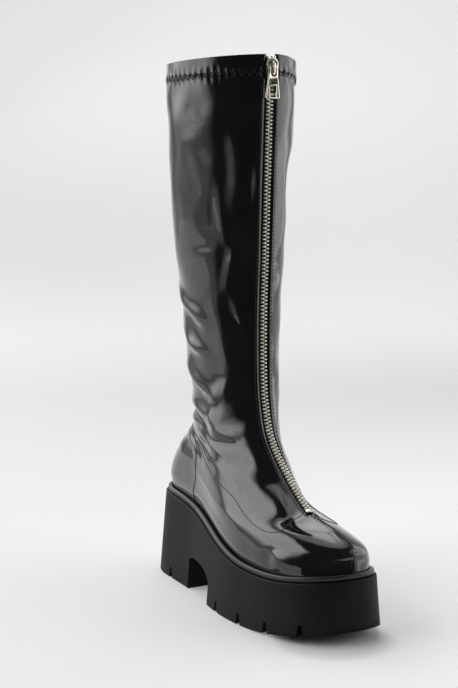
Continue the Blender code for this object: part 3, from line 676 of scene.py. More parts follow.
# Soft ridges and troughs of the patent: height, width on the left and on the right of one who walks
# along the path outside the skin, and the path as turns and rows.
FOLDS = (
    # the flattened front of the calf and the bend that ends it
    (3.2, 11.0, 11.0, ((146, 11.95), (150, 11.60), (153, 11.25), (155, 10.80), (157, 10.40), (160, 9.85))),
    (-1.0, 9.0, 8.0, ((138, 11.90), (140, 11.50), (141, 11.10), (143, 10.60))),
    (-0.7, 4.5, 4.5, ((128, 11.05), (126, 10.70), (125, 10.35), (127, 9.98))),
    (1.0, 5.0, 4.0, ((130, 10.90), (132, 10.60), (136, 10.26), (142, 9.90))),
    (-0.5, 5.0, 5.0, ((110, 12.70), (109, 12.31), (108, 11.92))),
    (-0.6, 5.0, 5.0, ((103, 11.60), (104, 11.20), (107, 10.78))),
    # a short level pleat, then two leaf-shaped folds beside the shin
    (-0.7, 6.0, 5.0, ((97, 10.06), (108, 10.04), (119, 10.05), (127, 10.03))),
    (1.9, 6.0, 5.0, ((148, 10.20), (145, 9.95), (142, 9.69), (136, 9.25))),
    (-0.5, 5.0, 5.0, ((135, 10.10), (133, 9.75), (130, 9.45), (127, 9.20))),
    (2.2, 7.0, 5.5, ((139, 9.55), (146, 9.19), (151, 8.98), (156, 8.74), (161, 8.36))),
    # the long soft edge between the side and the front of the shin
    (1.8, 9.0, 8.0, ((123, 9.85), (125, 9.35), (127, 8.95), (130, 8.50), (131, 8.00), (126, 7.34),
                     (121, 6.60), (118, 5.90))),
    (3.2, 13.0, 7.0, ((126, 7.90), (118, 7.35), (112, 6.90), (111, 6.45), (117, 6.00), (127, 5.55))),
    (-1.8, 6.0, 18.0, ((166, 8.00), (166, 7.40), (165, 6.90), (165, 6.40), (166, 6.10))),
    (1.5, 4.0, 8.0, ((164, 5.00), (163, 4.70), (162, 4.40), (160, 4.10), (158, 3.80))),
    # drag folds that come round from the back of the ankle
    (3.3, 8.0, 3.5, ((34, 9.50), (60, 9.26), (80, 9.06), (95, 8.93), (107, 8.81), (122, 8.72))),
    (-1.7, 3.0, 8.0, ((44, 9.18), (64, 9.00), (84, 8.86), (98, 8.72), (110, 8.62))),
    (2.8, 7.0, 3.5, ((44, 8.78), (71, 8.55), (86, 8.42), (101, 8.34), (118, 8.30))),
    (-1.5, 3.0, 7.0, ((52, 8.55), (72, 8.38), (88, 8.26), (104, 8.18))),
    (3.3, 8.0, 3.5, ((34, 8.30), (62, 8.07), (83, 7.78), (103, 7.45), (122, 7.06))),
    (-1.8, 3.0, 7.0, ((44, 7.98), (66, 7.78), (86, 7.50), (104, 7.18))),
    (3.3, 7.0, 3.5, ((18, 7.46), (52, 7.19), (80, 6.86), (103, 6.58), (122, 6.34))),
    (-2.2, 3.0, 6.0, ((0, 6.98), (30, 6.92), (58, 6.78), (84, 6.52), (102, 6.32))),
    (1.5, 5.0, 3.0, ((30, 6.45), (56, 6.42), (80, 6.34), (97, 6.14))),
    (-2.3, 5.0, 4.0, ((-40, 6.14), (0, 6.12), (41, 6.08), (60, 5.97), (74, 5.84))),
    (1.4, 5.0, 2.5, ((50, 5.95), (72, 5.94), (93, 5.88), (114, 5.66), (133, 5.42))),
    (-1.2, 2.5, 4.0, ((56, 5.76), (80, 5.62), (100, 5.46), (120, 5.28))),
    (1.2, 4.0, 2.5, ((49, 5.84), (66, 5.70), (80, 5.52), (93, 5.28), (100, 4.92))),
    (-0.9, 2.5, 4.0, ((54, 5.62), (70, 5.40), (82, 5.15), (88, 4.85))),
    (0.9, 3.0, 2.5, ((47, 5.75), (58, 5.45), (67, 5.10), (71, 4.25))),
    (1.6, 6.0, 3.5, ((104, 6.24), (117, 6.20), (130, 6.12), (140, 5.98))),
    (-1.5, 4.0, 6.0, ((106, 5.92), (119, 5.92), (132, 5.93), (140, 5.84))),
    # the vamp against the toe box
    (-1.2, 6.0, 6.0, ((134, 2.45), (131, 1.75), (129, 1.05), (128, 0.10))),
    (0.9, 9.0, 8.0, ((122, 1.55), (133, 1.70), (146, 1.85), (160, 1.90), (180, 1.90), (204, 1.85),
                     (226, 1.50))),
    (2.0, 12.0, 7.0, ((139, 2.20), (137, 1.60), (136, 0.90), (136, 0.10))),
    (0.8, 1.6, 1.6, ((191, 3.93), (205, 3.80), (220, 3.60), (236, 3.42))),
    # the inner side and the back
    (2.0, 3.0, 7.0, ((318, 9.45), (296, 9.20), (274, 9.02), (250, 8.90))),
    (-1.7, 8.0, 3.0, ((314, 9.16), (292, 8.94), (270, 8.76))),
    (2.1, 3.0, 7.0, ((320, 8.45), (298, 8.18), (274, 7.90), (252, 7.48))),
    (-1.8, 7.0, 3.0, ((316, 8.15), (294, 7.88), (270, 7.58))),
    (2.2, 3.0, 6.0, ((326, 7.50), (300, 7.22), (276, 6.90), (252, 6.50))),
    (-2.1, 6.0, 3.0, ((340, 6.90), (306, 6.82), (280, 6.55), (258, 6.22))),
    (1.4, 2.5, 5.0, ((310, 5.92), (288, 5.74), (266, 5.50), (240, 5.30))),
    (1.1, 2.5, 4.0, ((308, 5.70), (292, 5.36), (278, 5.02))),
    (-3.0, 16.0, 16.0, ((236, 11.50), (232, 11.00), (234, 10.40))),
    (1.4, 6.0, 6.0, ((214, 11.20), (210, 10.70), (214, 10.10))),
    (-2.2, 12.0, 12.0, ((288, 11.60), (282, 11.00), (290, 10.40))),
    (-2.2, 13.0, 13.0, ((20, 11.70), (8, 11.00), (16, 10.30))),
    (1.5, 5.0, 8.0, ((352, 10.70), (344, 10.10), (352, 9.50))),
    (-1.6, 9.0, 9.0, ((30, 9.90), (22, 9.50), (30, 9.10))),
)
FOLD_TAPER = 1.3
# A fold is left out farther from its path than this many widths.
FOLD_REACH = 2.6

# Long low waves of the whole skin: height, waves around the leg, half waves per ring row, start.
RIPPLES = ((0.35, 3, 0.9, 0.4), (0.30, 5, -0.6, 1.9), (0.22, 7, 1.7, 3.1), (0.16, 9, -2.3, 5.0))
# Rows over which the waves set in, and over which the skin comes free of the bead.
RIPPLE_ROWS = (3.0, 6.0)
FREE_ROWS = (0.0, 0.9)
# Gaps from the slit over which the skin comes free of the zip, and how much the hem holds it.
ZIP_CLEAR = (1.0, 13.0)
HEM_HOLD = 0.7
AWAY_FROM_FRONT = 99.0


def smooth_path(controls, count=28):
    """Turns and rows evenly along a smooth curve through control places."""
    controls = np.array(controls, float)
    knots = np.linspace(0.0, 1.0, len(controls))
    return through(knots, controls, np.linspace(0.0, 1.0, count)).T


def fold_lift(points, out, fold):
    """How far one fold lifts each point of the smooth skin."""
    height, left, right, controls = fold
    turns, rows = smooth_path(controls)
    path = upper_points(rows, np.radians(turns))
    reach = FOLD_REACH * max(left, right)
    near = np.all((points > path.min(axis=0) - reach) & (points < path.max(axis=0) + reach), axis=1)
    lift = np.zeros(len(points))
    index = np.nonzero(near)[0]
    start = path[:-1]
    step = np.diff(path, axis=0)
    away = points[index][:, None, :] - start[None]
    share = np.clip((away * step).sum(-1) / (step * step).sum(-1), 0.0, 1.0)
    gap = np.linalg.norm(away - share[..., None] * step, axis=-1)
    nearest = gap.argmin(axis=1)
    pick = np.arange(len(index))
    place = (nearest + share[pick, nearest]) / len(start)
    side = (np.cross(step[nearest], away[pick, nearest]) * out[index]).sum(-1)
    width = np.where(side > 0.0, left, right)
    fade = np.sin(math.pi * place) ** FOLD_TAPER
    lift[index] = height * fade * np.exp(-(gap[pick, nearest] / width) ** 2)
    return lift


def relief(rows, u, points, out):
    """Lift of the finished skin over the smooth one, for flat arrays of places."""
    lift = np.zeros(len(points))
    for height, around, upward, start in RIPPLES:
        lift += height * np.sin(around * u + math.pi * upward * rows + start)
    lift *= ease(*RIPPLE_ROWS, rows)
    for fold in FOLDS:
        lift += fold_lift(points, out, fold)
    width = np.where(np.cos(u) < 0.0, ring_half_width(ring_values(rows), u), AWAY_FROM_FRONT)
    clear_of_zip = np.where(rows > ZIP_END_ROW - 0.6, ease(*ZIP_CLEAR, width - SLOT_HALF), 1.0)
    lift *= clear_of_zip * ease(*FREE_ROWS, rows) * (1.0 - HEM_HOLD * ease(HEM_ROW - 0.12, HEM_ROW, rows))
    toe_seam = np.exp(-((width / TOE_SEAM_WIDTH) ** 2)) * (1.0 - ease(ZIP_END_ROW - 0.35, ZIP_END_ROW, rows))
    lift += TOE_SEAM_HEIGHT * toe_seam
    turned_in = np.where(rows >= ZIP_END_ROW, 1.0 - ease(0.0, SLIT_TURN_WIDTH, width - SLOT_HALF), 0.0)
    return lift - SLIT_TURN_IN * turned_in ** 2 + HEM_STEP * ease(HEM_ROW - 0.01, HEM_ROW + 0.02, rows)


def skin_path(controls, lift, count=160):
    """Points and outward directions on the finished skin along a smooth curve of turns and rows."""
    turns, rows = smooth_path(controls, count)
    u = np.radians(turns)
    points = upper_points(rows, u)
    out = upper_normals(rows, u)
    height = relief(rows, np.mod(u, 2.0 * math.pi), points, out) + lift
    return points + out * height[:, None], out


def upper_rows():
    """Row numbers of the fine upper's rings, a whole number of lining steps."""
    rows = [start + np.arange(steps) / steps for start, steps in enumerate(RING_STEPS)]
    rows.append(np.linspace(12.0, HEM_ROW - 0.02, HEM_RINGS))
    rows.append(np.linspace(HEM_ROW, COLLAR_ROW, COLLAR_RINGS))
    return np.concatenate(rows)


def ring_turns(rows):
    """Angles of each ring's columns: back, outer side to the slit, front line, inner side back again."""
    even = np.arange(1, SIDE_COLUMNS + 1 - len(SLIT_SHARES)) / (SIDE_COLUMNS + 1 - len(SLIT_SHARES))
    shares = np.concatenate([even * SLIT_SHARES[0] * 0.998, SLIT_SHARES])
    outer = angle_at_width(rows, SLOT_HALF, True)[:, None]
    inner = 2.0 * math.pi - angle_at_width(rows, SLOT_HALF, False)[:, None]
    back = np.zeros((len(rows), 1))
    return np.hstack([back, outer * shares, back + math.pi, 2.0 * math.pi - inner * shares[::-1]])


def build_upper():
    """Patent outside, lining inside, joined at collar, seat and slit."""
    rows = upper_rows()
    u = ring_turns(rows)
    grid_rows = np.repeat(rows[:, None], u.shape[1], axis=1)
    levels, columns = u.shape
    flat_rows = grid_rows.ravel()
    flat_u = u.ravel()
    skin = upper_points(flat_rows, flat_u)
    out = upper_normals(flat_rows, flat_u)
    lift = relief(flat_rows, flat_u, skin, out)
    ring_points = skin.reshape(levels, columns, 3)
    steps = np.diff(ring_points, axis=1, prepend=ring_points[:, :1])
    walked = np.cumsum(np.linalg.norm(steps, axis=2), axis=1)
    rise = (grid_rows - HEM_ROW) * (RING_TABLE[-1][1] - RING_TABLE[-2][1])
    pucker = HEM_PUCKER * np.sin(2.0 * math.pi * walked / HEM_PITCH + HEM_PUCKER_LEAN * rise)
    pucker *= np.exp(-(rise / HEM_PUCKER_WIDTH) ** 2)
    lift += pucker.ravel()
    outside = (skin + out * lift[:, None]).reshape(levels, columns, 3)
    inside = (skin + out * (lift - WALL)[:, None]).reshape(levels, columns, 3)
    seat = outside[:1] + np.array([0.0, 0.0, -(WELT_HEIGHT - GAP)])
    outside = np.concatenate([seat, outside])
    inside_seat = inside[:1].copy()
    inside_seat[..., 2] = seat[..., 2]
    inside = np.concatenate([inside_seat, inside])
    levels += 1
    front = SIDE_COLUMNS + 1
    slit_low = 1 + int(np.argmin(np.abs(rows - ZIP_END_ROW)))
    return weave_shell(outside, inside, levels, columns, front, slit_low)


def weave_shell(outside, inside, levels, columns, front, slit_low):
    """Closed wall from a fine outside and a coarser inside of the same rings and columns."""
    coarse_levels = sorted(set(range(0, levels, LINING_STEP)) | {slit_low, levels - 1})
    outer_columns = list(range(0, front - 1, LINING_STEP)) + [front - 1]
    inner_columns = [front + 1] + list(range(front + 1 + LINING_STEP, columns, LINING_STEP))
    coarse_columns = outer_columns + [front] + inner_columns
    points = list(outside.reshape(-1, 3))
    number = {}
    for level in coarse_levels:
        for column in coarse_columns:
            number[level, column] = len(points)
            points.append(inside[level, column])

    def fine(level, column):
        return level * columns + column

    faces = []
    for level in range(levels - 1):
        for column in range(columns):
            after = (column + 1) % columns
            if level >= slit_low and front in (column, after):
                continue
            above = level + 1
            faces.append((fine(level, column), fine(level, after), fine(above, after), fine(above, column)))
    patent_faces = len(faces)
    loop = coarse_columns + [columns]
    for low, high in zip(coarse_levels, coarse_levels[1:]):
        for column, after in zip(loop, loop[1:]):
            if low >= slit_low and front in (column, after):
                continue
            after %= columns
            faces.append((number[low, column], number[high, column], number[high, after], number[low, after]))
    lined_faces = len(faces)
    for level, keep_front in ((0, True), (levels - 1, False), (slit_low, None)):
        for column, after in zip(loop, loop[1:]):
            touches = front in (column, after)
            if keep_front is None and not touches or keep_front is False and touches:
                continue
            edge = [fine(level, k % columns) for k in range(column, after + 1)]
            faces.append(tuple(edge) + (number[level, after % columns], number[level, column]))
    for low, high in zip(coarse_levels, coarse_levels[1:]):
        if low < slit_low:
            continue
        for column in (front - 1, front + 1):
            edge = [fine(k, column) for k in range(low, high + 1)]
            faces.append(tuple(edge) + (number[high, column], number[low, column]))
    mesh = close_shell("patent_upper", shell(points, faces))
    upper = add_piece("patent_upper", mesh, "patent", 75.0)
    upper.data.materials.append(FINISHES["lining"])
    lining = np.zeros(len(upper.data.polygons), np.int32)
    lining[patent_faces:lined_faces] = 1
    upper.data.polygons.foreach_set("material_index", lining)
    return upper


# Seams of the upper, as turns and rows on the outer side.
COUNTER_SEAM = ((0, 6.08), (20, 6.09), (41, 6.03), (60, 5.72), (70, 5.25), (71, 4.60), (68, 3.40), (64, 2.2),
                (62, 1.0), (62, 0.05))
VAMP_SEAM = ((70, 5.45), (86, 5.18), (99, 4.85), (112, 4.66), (124, 4.30), (131, 3.35), (137, 3.10),
             (146, 3.22), (160, 3.72), (172, 3.98))
THREAD = 0.5
SEAM_LIFT = 0.2
SEAM_RADIUS = 0.35
TOP_STITCH_LIFT = 0.1
HEM_LIFT = 0.25
# Gaps of the stitch rows from the toe's middle line and from the slit, and of the hem's ends from the slit.
TOE_ROW_GAP = 2.4
SLIT_ROW_GAP = 3.2
HEM_END_GAP = 2.5


def other_side(controls):
    return tuple((360 - turn, row) for turn, row in controls)


def beside_front(rows, gap, outer):
    """Places at some millimetres from the front line."""
    rows = np.asarray(rows, float)
    return np.stack([np.degrees(angle_at_width(rows, gap, outer)), rows], axis=-1)


def build_seams():
    seams = [COUNTER_SEAM, other_side(COUNTER_SEAM), VAMP_SEAM, other_side(VAMP_SEAM)]
    sewn = [skin_path(seam, SEAM_LIFT, 240) for seam in seams]
    small = {"Length": 2.0 * MM, "Width": THREAD * MM, "Height": THREAD * MM, "Spacing": 2.5 * MM,
             "Side": 0.0, "Swing": 0.0, "Wobble": 0.06}
    pieces = [units_on_paths("seam_stitches", sewn, stitch_unit(), "thread", small)]
    toe = np.linspace(3.9, 0.15, 12)
    toe_line = skin_path([(180.0, row) for row in toe], 0.0, 120)
    joints = [skin_path(seam, 0.0, 240) for seam in seams] + [toe_line]
    pieces.append(cord_on_paths("seam_lines", joints, "thread", SEAM_RADIUS))
    slit = np.concatenate([np.linspace(4.05, 7.5, 22), np.linspace(7.8, 12.9, 18)])
    rows = []
    for places, gap, count in ((toe, TOE_ROW_GAP, 120), (slit, SLOT_HALF + SLIT_ROW_GAP, 420)):
        for outer in (True, False):
            rows.append(skin_path(beside_front(places, gap, outer), TOP_STITCH_LIFT, count))
    top = dict(small, Length=2.6 * MM, Width=0.65 * MM, Height=0.65 * MM, Spacing=3.3 * MM)
    pieces.append(units_on_paths("top_stitches", rows, stitch_unit(), "thread", top))
    ends = [beside_front([HEM_ROW], SLOT_HALF + HEM_END_GAP, outer)[0] for outer in (True, False)]
    hem = [ends[0]] + [(turn, HEM_ROW) for turn in range(165, -166, -15)] + [ends[1] - (360.0, 0.0)]
    zigzag = dict(small, Length=8.0 * MM, Width=0.75 * MM, Height=0.75 * MM, Spacing=0.5 * HEM_PITCH * MM,
                  Swing=math.radians(65.0))
    hem_path = skin_path(hem, HEM_LIFT, 400)
    pieces.append(units_on_paths("hem_zigzag", [hem_path], stitch_unit(), "thread", zigzag))
    for piece in pieces:
        on_body(piece, "boot", "upper")


# The zip

ZIP_PITCH = 3.15
CHAIN_LOW = 6.0
STOP_LOW_SPAN = (2.4, 5.6)
SLIDER_MIDDLE_DOWN = 11.5
POST_LOW = 4.0
TOOTH_SIZE = (1.75, 2.9, 2.2)
TOOTH_SIDE = 1.4
TOOTH_LIFT = -0.35


def zip_frame(row):
    """A point on the zip's line with its directions across, along and out."""
    rows = np.array([row])
    front = np.array([math.pi])
    small = 1e-3
    at = upper_points(rows, front)[0]
    along = unit(upper_points(rows + small, front)[0] - upper_points(rows - small, front)[0])
    out = upper_normals(rows, front)[0]
    out = unit(out - along * np.dot(out, along))
    return at, np.cross(along, out), along, out


def zip_rows_by_length():
    """Row numbers along the zip with their lengths from the slit's lower end."""
    rows = np.linspace(ZIP_END_ROW, COLLAR_ROW, 400)
    line = upper_points(rows, np.full(400, math.pi))
    return rows, np.concatenate([[0.0], np.cumsum(np.linalg.norm(np.diff(line, axis=0), axis=1))])


def build_chain(rows, lengths):
    """Two closed rows of teeth along the zip."""
    top = lengths[-1] - SLIDER_MIDDLE_DOWN + POST_LOW
    frames = [zip_frame(np.interp(length, lengths, rows)) for length in np.linspace(CHAIN_LOW, top, 260)]
    places = [at + out * TOOTH_LIFT for at, _, _, out in frames]
    outs = [out for _, _, _, out in frames]
    length, width, height = TOOTH_SIZE
    sizes = {"Length": length * MM, "Width": width * MM, "Height": height * MM,
             "Spacing": 0.5 * ZIP_PITCH * MM, "Side": TOOTH_SIDE * MM, "Swing": 0.0, "Wobble": 0.02}
    chain = units_on_paths("zip_teeth", [(places, outs)], tooth_unit(), "teeth", sizes)
    on_body(chain, "boot", "zip_metal", "zip_chain")


def zip_spot(length, rows, lengths):
    """The zip's frame at a length from the slit's lower end."""
    return zip_frame(np.interp(length, lengths, rows))


TAPE_THICK = 0.8
TAPE_GAP = 0.5
TAPE_EDGE = 0.5
TAPE_EDGE_AT = 2.0
TAPE_EDGE_WIDTH = 0.6
TAPE_PLACES = (1.2, 1.5, 2.0, 2.6, 3.4, 4.4, 6.0, 8.0, 10.0, 12.0)
TAPE_STATIONS = 180
TAPE_ROWS = (3.75, 12.96)


def build_tape(name, node, outer):
    """One woven half of the zip with a thicker edge under the teeth."""
    rows = np.repeat(np.linspace(*TAPE_ROWS, TAPE_STATIONS)[:, None], len(TAPE_PLACES), axis=1)
    u = angle_at_width(rows, np.array(TAPE_PLACES), outer)
    skin = upper_points(rows, u)
    out = upper_normals(rows, u)
    cord = TAPE_EDGE * np.exp(-((np.array(TAPE_PLACES) - TAPE_EDGE_AT) / TAPE_EDGE_WIDTH) ** 2)
    face = skin - out * (WALL + TAPE_GAP - cord)[:, None]
    back = skin - out * (WALL + TAPE_GAP + TAPE_THICK)
    sections = np.concatenate([face, back[:, ::-1]], axis=1)
    tape = add_piece(name, swept(name, sections), "tape")
    on_body(tape, "boot", "zip_tape", node)


# Slider and pull, in the zip's own frame: across, along the zip and out from the boot.
SLIDER_HALF_HEIGHT = 8.5
SLIDER_SHOULDER = 5.6
SLIDER_FOOT = 4.6
SLIDER_BACK = 1.0
SLIDER_FACE = 2.6
SLIDER_UNDER = (-5.4, -3.8)
SLIDER_UNDER_SIZE = (4.0, -7.0, 8.0)
SLIDER_RIM = 1.1
SLIDER_SUNK = 0.4
POST_HALF = 0.7
POST_HIGH = 7.0
BRIDGE_HALF = 1.0
BRIDGE_END = 5.5
BRIDGE_GAP_END = 3.6
BRIDGE_GAP_OUT = 5.2
BRIDGE_OUT = 6.4
BRIDGE_BEVEL = 1.3
HINGE_UP = 1.2
HINGE_OUT = 3.9
PULL_HALF_THICK = 0.8
PULL_HEAD_UP = 0.75
PULL_LENGTH = 26.4
PULL_HEAD_HALF = 4.2
PULL_HEAD_DOWN = 2.0
PULL_CORNER = 1.0
PULL_NECK_DOWN = 8.5
PULL_NECK_HALF = 4.5
PULL_FOOT_HALF = 6.8
PULL_SLOT_HALF = 2.0
PULL_SLOT_DOWN = 8.3
PULL_PANEL = (9.6, 14.9, 25.3)
PULL_PANEL_SUNK = 0.45
PULL_RIM = 1.1
PULL_FRAME_HALF = 3.9
PULL_WINDOW = (15.7, 22.6)
PULL_WINDOW_HALF = 3.1
PULL_SLIT = (23.7, 25.2)
METAL_ROUND = 0.3
CUT_DEPTH = 3.0
SUNK_PLAY = 0.05
SQUARE_ON = 0.99
STOP_ACROSS = (2.0, 4.0)
STOP_ALONG = (6.2, 10.2)
CHAIN_BACK = -1.8
CHAIN_FACE = 0.7
LOW_STOP_HALF = 3.4
STOP_ROUND = 0.5
LOW_STOP_ROUND = 0.6


def prism(outline, reach):
    """Solid from a flat outline pushed along reach."""
    work = shell(outline, [range(len(outline))])
    pushed = bmesh.ops.extrude_face_region(work, geom=list(work.faces))
    moving = [part for part in pushed["geom"] if isinstance(part, bmesh.types.BMVert)]
    bmesh.ops.translate(work, verts=moving, vec=Vector(reach) * MM)
    return close_shell("prism", work)


def plate(spot, outline, low, high):
    """Flat plate with an outline given as across and along, between two depths."""
    at, across, along, out = spot
    return prism([at + across * a + along * b + out * low for a, b in outline], out * (high - low))


def side_plate(spot, outline, half):
    """Plate that stands on edge, with an outline given as along and out."""
    at, across, along, out = spot
    return prism([at - across * half + along * a + out * b for a, b in outline], across * 2.0 * half)


def rectangle(half, low, high):
    return ((-half, low), (half, low), (half, high), (-half, high))


def dome(foot_half, foot, shoulder, top):
    """Shield outline: straight sides and a round top."""
    outline = [(-foot_half, foot), (foot_half, foot)]
    for k in range(25):
        turn = math.pi * k / 24
        outline.append((shoulder * math.cos(turn), top - shoulder + shoulder * math.sin(turn)))
    return outline


def paint_sunk_shade(piece, spot, depth):
    """Give the flat sunk faces of a metal piece, at a depth of its plate, the darker metal of painted shade
    and reflection.
    """
    at, _, _, out = spot
    piece.data.materials.append(FINISHES["metal_painted_shade"])
    for face in piece.data.polygons:
        place = np.array(face.center) / MM - TO_FRAME
        if np.dot(face.normal, out) > SQUARE_ON and abs(np.dot(place - at, out) - depth) < SUNK_PLAY:
            face.material_index = 1


def build_slider(spot):
    """Slider: shield-shaped face with a sunk middle, bridge for the pull, post and back plate."""
    face = dome(SLIDER_FOOT, -SLIDER_HALF_HEIGHT, SLIDER_SHOULDER, SLIDER_HALF_HEIGHT)
    mesh = plate(spot, face, SLIDER_BACK, SLIDER_FACE)
    inner = dome(SLIDER_FOOT - SLIDER_RIM, SLIDER_RIM - SLIDER_HALF_HEIGHT, SLIDER_SHOULDER - SLIDER_RIM,
                 SLIDER_HALF_HEIGHT - SLIDER_RIM)
    sunk = SLIDER_FACE - SLIDER_SUNK
    mesh = combine("slider", mesh, plate(spot, inner, sunk, SLIDER_FACE + 1.0), "DIFFERENCE")
    root = sunk - 0.3
    bevel = BRIDGE_BEVEL
    half = [(BRIDGE_END - bevel, BRIDGE_OUT), (BRIDGE_END, BRIDGE_OUT - bevel), (BRIDGE_END, root),
            (BRIDGE_GAP_END, root), (BRIDGE_GAP_END, BRIDGE_GAP_OUT)]
    bridge = half + [(-a, b) for a, b in reversed(half)]
    mesh = combine("slider", mesh, side_plate(spot, bridge, BRIDGE_HALF), "UNION")
    mesh = combine("slider", mesh, plate(spot, rectangle(*SLIDER_UNDER_SIZE), *SLIDER_UNDER), "UNION")
    post = plate(spot, rectangle(POST_HALF, POST_LOW, POST_HIGH), SLIDER_UNDER[1] - 0.4, SLIDER_BACK + 0.4)
    mesh = combine("slider", mesh, post, "UNION")
    slider = add_piece("slider_with_bridge", rounded("slider", mesh, METAL_ROUND), "metal", 40.0)
    paint_sunk_shade(slider, spot, sunk)
    on_body(slider, "boot", "zip_metal", "zip_slider")


def pull_half_width(down):
    """Half width of the pull tab at a distance below its hinge."""
    return np.interp(down, (0.0, PULL_HEAD_DOWN, PULL_NECK_DOWN, PULL_LENGTH),
                     (PULL_HEAD_HALF, PULL_HEAD_HALF, PULL_NECK_HALF, PULL_FOOT_HALF))


def build_pull(spot):
    """Pull tab: tapered plate with a slot for the bridge, a sunk panel around a framed window, and a slit."""
    side = [(-PULL_HEAD_HALF, PULL_HEAD_UP), (-PULL_HEAD_HALF, -PULL_HEAD_DOWN),
            (-PULL_NECK_HALF, -PULL_NECK_DOWN), (-PULL_FOOT_HALF, PULL_CORNER - PULL_LENGTH),
            (PULL_CORNER - PULL_FOOT_HALF, -PULL_LENGTH)]
    outline = side + [(-a, b) for a, b in reversed(side)]
    mesh = plate(spot, outline, -PULL_HALF_THICK, PULL_HALF_THICK)
    slot = [(PULL_SLOT_HALF, -PULL_HEAD_UP), (-PULL_SLOT_HALF, -PULL_HEAD_UP)]
    for k in range(13):
        turn = math.pi * (1.0 + k / 12)
        slot.append((PULL_SLOT_HALF * math.cos(turn),
                     PULL_SLOT_HALF - PULL_SLOT_DOWN + PULL_SLOT_HALF * math.sin(turn)))
    cuts = [(slot, -CUT_DEPTH, CUT_DEPTH)]
    for low, high in (PULL_WINDOW, PULL_SLIT):
        cuts.append((rectangle(PULL_WINDOW_HALF, -high, -low), -CUT_DEPTH, CUT_DEPTH))
    top, middle, foot = PULL_PANEL
    half = [(pull_half_width(top) - PULL_RIM, -top), (pull_half_width(foot) - PULL_RIM, -foot),
            (PULL_FRAME_HALF, -foot), (PULL_FRAME_HALF, -middle)]
    panel = half + [(-a, b) for a, b in reversed(half)]
    cuts.append((panel, PULL_HALF_THICK - PULL_PANEL_SUNK, CUT_DEPTH))
    for hole, low, high in cuts:
        mesh = combine("pull", mesh, plate(spot, hole, low, high), "DIFFERENCE")
    pull = add_piece("pull_tab", rounded("pull", mesh, METAL_ROUND), "metal", 40.0)
    paint_sunk_shade(pull, spot, PULL_HALF_THICK - PULL_PANEL_SUNK)
    on_body(pull, "pull", "zip_metal", "zip_pull")


def build_stops(top_spot, low_spot):
    """Clips at the ends of the chain."""
    near, far = STOP_ACROSS
    for side, name in ((-1.0, "outer"), (1.0, "inner")):
        outline = [(side * near, STOP_ALONG[0]), (side * far, STOP_ALONG[0]), (side * far, STOP_ALONG[1]),
                   (side * near, STOP_ALONG[1])]
        mesh = rounded("stop", plate(top_spot, outline, CHAIN_BACK, CHAIN_FACE), STOP_ROUND, 3)
        stop = add_piece("top_stop_" + name, mesh, "metal", 40.0)
        on_body(stop, "boot", "zip_metal", "zip_stop_" + name)
    half = 0.5 * (STOP_LOW_SPAN[1] - STOP_LOW_SPAN[0])
    clip = plate(low_spot, rectangle(LOW_STOP_HALF, -half, half), CHAIN_BACK, CHAIN_FACE)
    mesh = rounded("stop", clip, LOW_STOP_ROUND, 3)
    on_body(add_piece("bottom_stop", mesh, "metal", 40.0), "boot", "zip_metal", "zip_stop_low")


def build_zip():
    rows, lengths = zip_rows_by_length()
    build_chain(rows, lengths)
    build_tape("tape_outer", "zip_tape_outer", True)
    build_tape("tape_inner", "zip_tape_inner", False)
    spot = zip_spot(lengths[-1] - SLIDER_MIDDLE_DOWN, rows, lengths)
    build_slider(spot)
    at, across, along, out = spot
    build_pull((at + along * HINGE_UP + out * HINGE_OUT, across, along, out))
    build_stops(spot, zip_spot(0.5 * sum(STOP_LOW_SPAN), rows, lengths))


# The foot: sole, bead and insole

LOOP_POINTS = 288
LEDGE = 6.2
EDGE_ROUND = 1.1
ROUND_STEPS = 4
SOLE_LEVELS = 6
FLARE_DEG = 4.5
TOE_SPRING = 9.0
TOE_SPRING_FROM = 190.0
TOE_SPRING_TO = 268.0
TOE_SPRING_POWER = 1.6
HEEL_BEVEL = 4.0
HEEL_BEVEL_LENGTH = 14.0
TOE_BEVEL_HEIGHT = 8.0
TOE_BEVEL_DEPTH = 6.0
TOE_BEVEL_FROM = 256.0
TOE_BEVEL_TO = 271.0
ARCH_X = (76.5, 84.0, 96.0, 110.0, 121.0, 127.5)
ARCH_Z = (27.0, 29.5, 30.0, 28.5, 25.0, 20.0)
LUG_GAP_X = (6.0, 41.0, 147.0, 184.0, 221.0, 252.0)
LUG_GAP_HEIGHT = 9.5
LUG_GAP_FOOT = 8.0
LUG_GAP_HEAD = 3.0
LUG_GAP_DEPTH = 13.0
LUG_GAP_OUT = 8.0
LUG_GAP_BELOW = 4.0
CUT_BELOW = 5.0
CUT_REACH = 100.0
WELT_SIDES = 20
WELT_SQUARE = 0.6
INSOLE_PLAY = 0.6
INSOLE_THICK = 3.0


def flat_normals(loop):
    """Outward normals, seen from above, of a closed loop that runs outer side first."""
    along = np.roll(loop, -1, axis=0) - np.roll(loop, 1, axis=0)
    return unit(np.stack([along[:, 1], -along[:, 0], np.zeros(len(loop))], axis=-1))


def rim_loop(out, lift):
    """The upper's rim seen from above, moved out and up."""
    u = np.arange(LOOP_POINTS) * 2.0 * math.pi / LOOP_POINTS
    loop = upper_points(np.zeros(LOOP_POINTS), u)
    moved = loop + flat_normals(loop) * np.reshape(out, (-1, 1))
    moved[:, 2] = loop[:, 2] + lift
    return moved


def lofted(name, loops):
    """Closed mesh through loops of equal length, ends closed by strips across the boot."""
    count = len(loops[0])
    faces = []
    for level in range(len(loops) - 1):
        low = level * count
        for i in range(count):
            j = (i + 1) % count
            faces.append((low + i, low + j, low + count + j, low + count + i))
    for base in (0, (len(loops) - 1) * count):
        for i in range(count // 2):
            across = [base + i, base + i + 1, base + (count - i - 1) % count, base + (count - i) % count]
            faces.append(tuple(dict.fromkeys(across)))
    return close_shell(name, shell(np.concatenate(loops), faces))


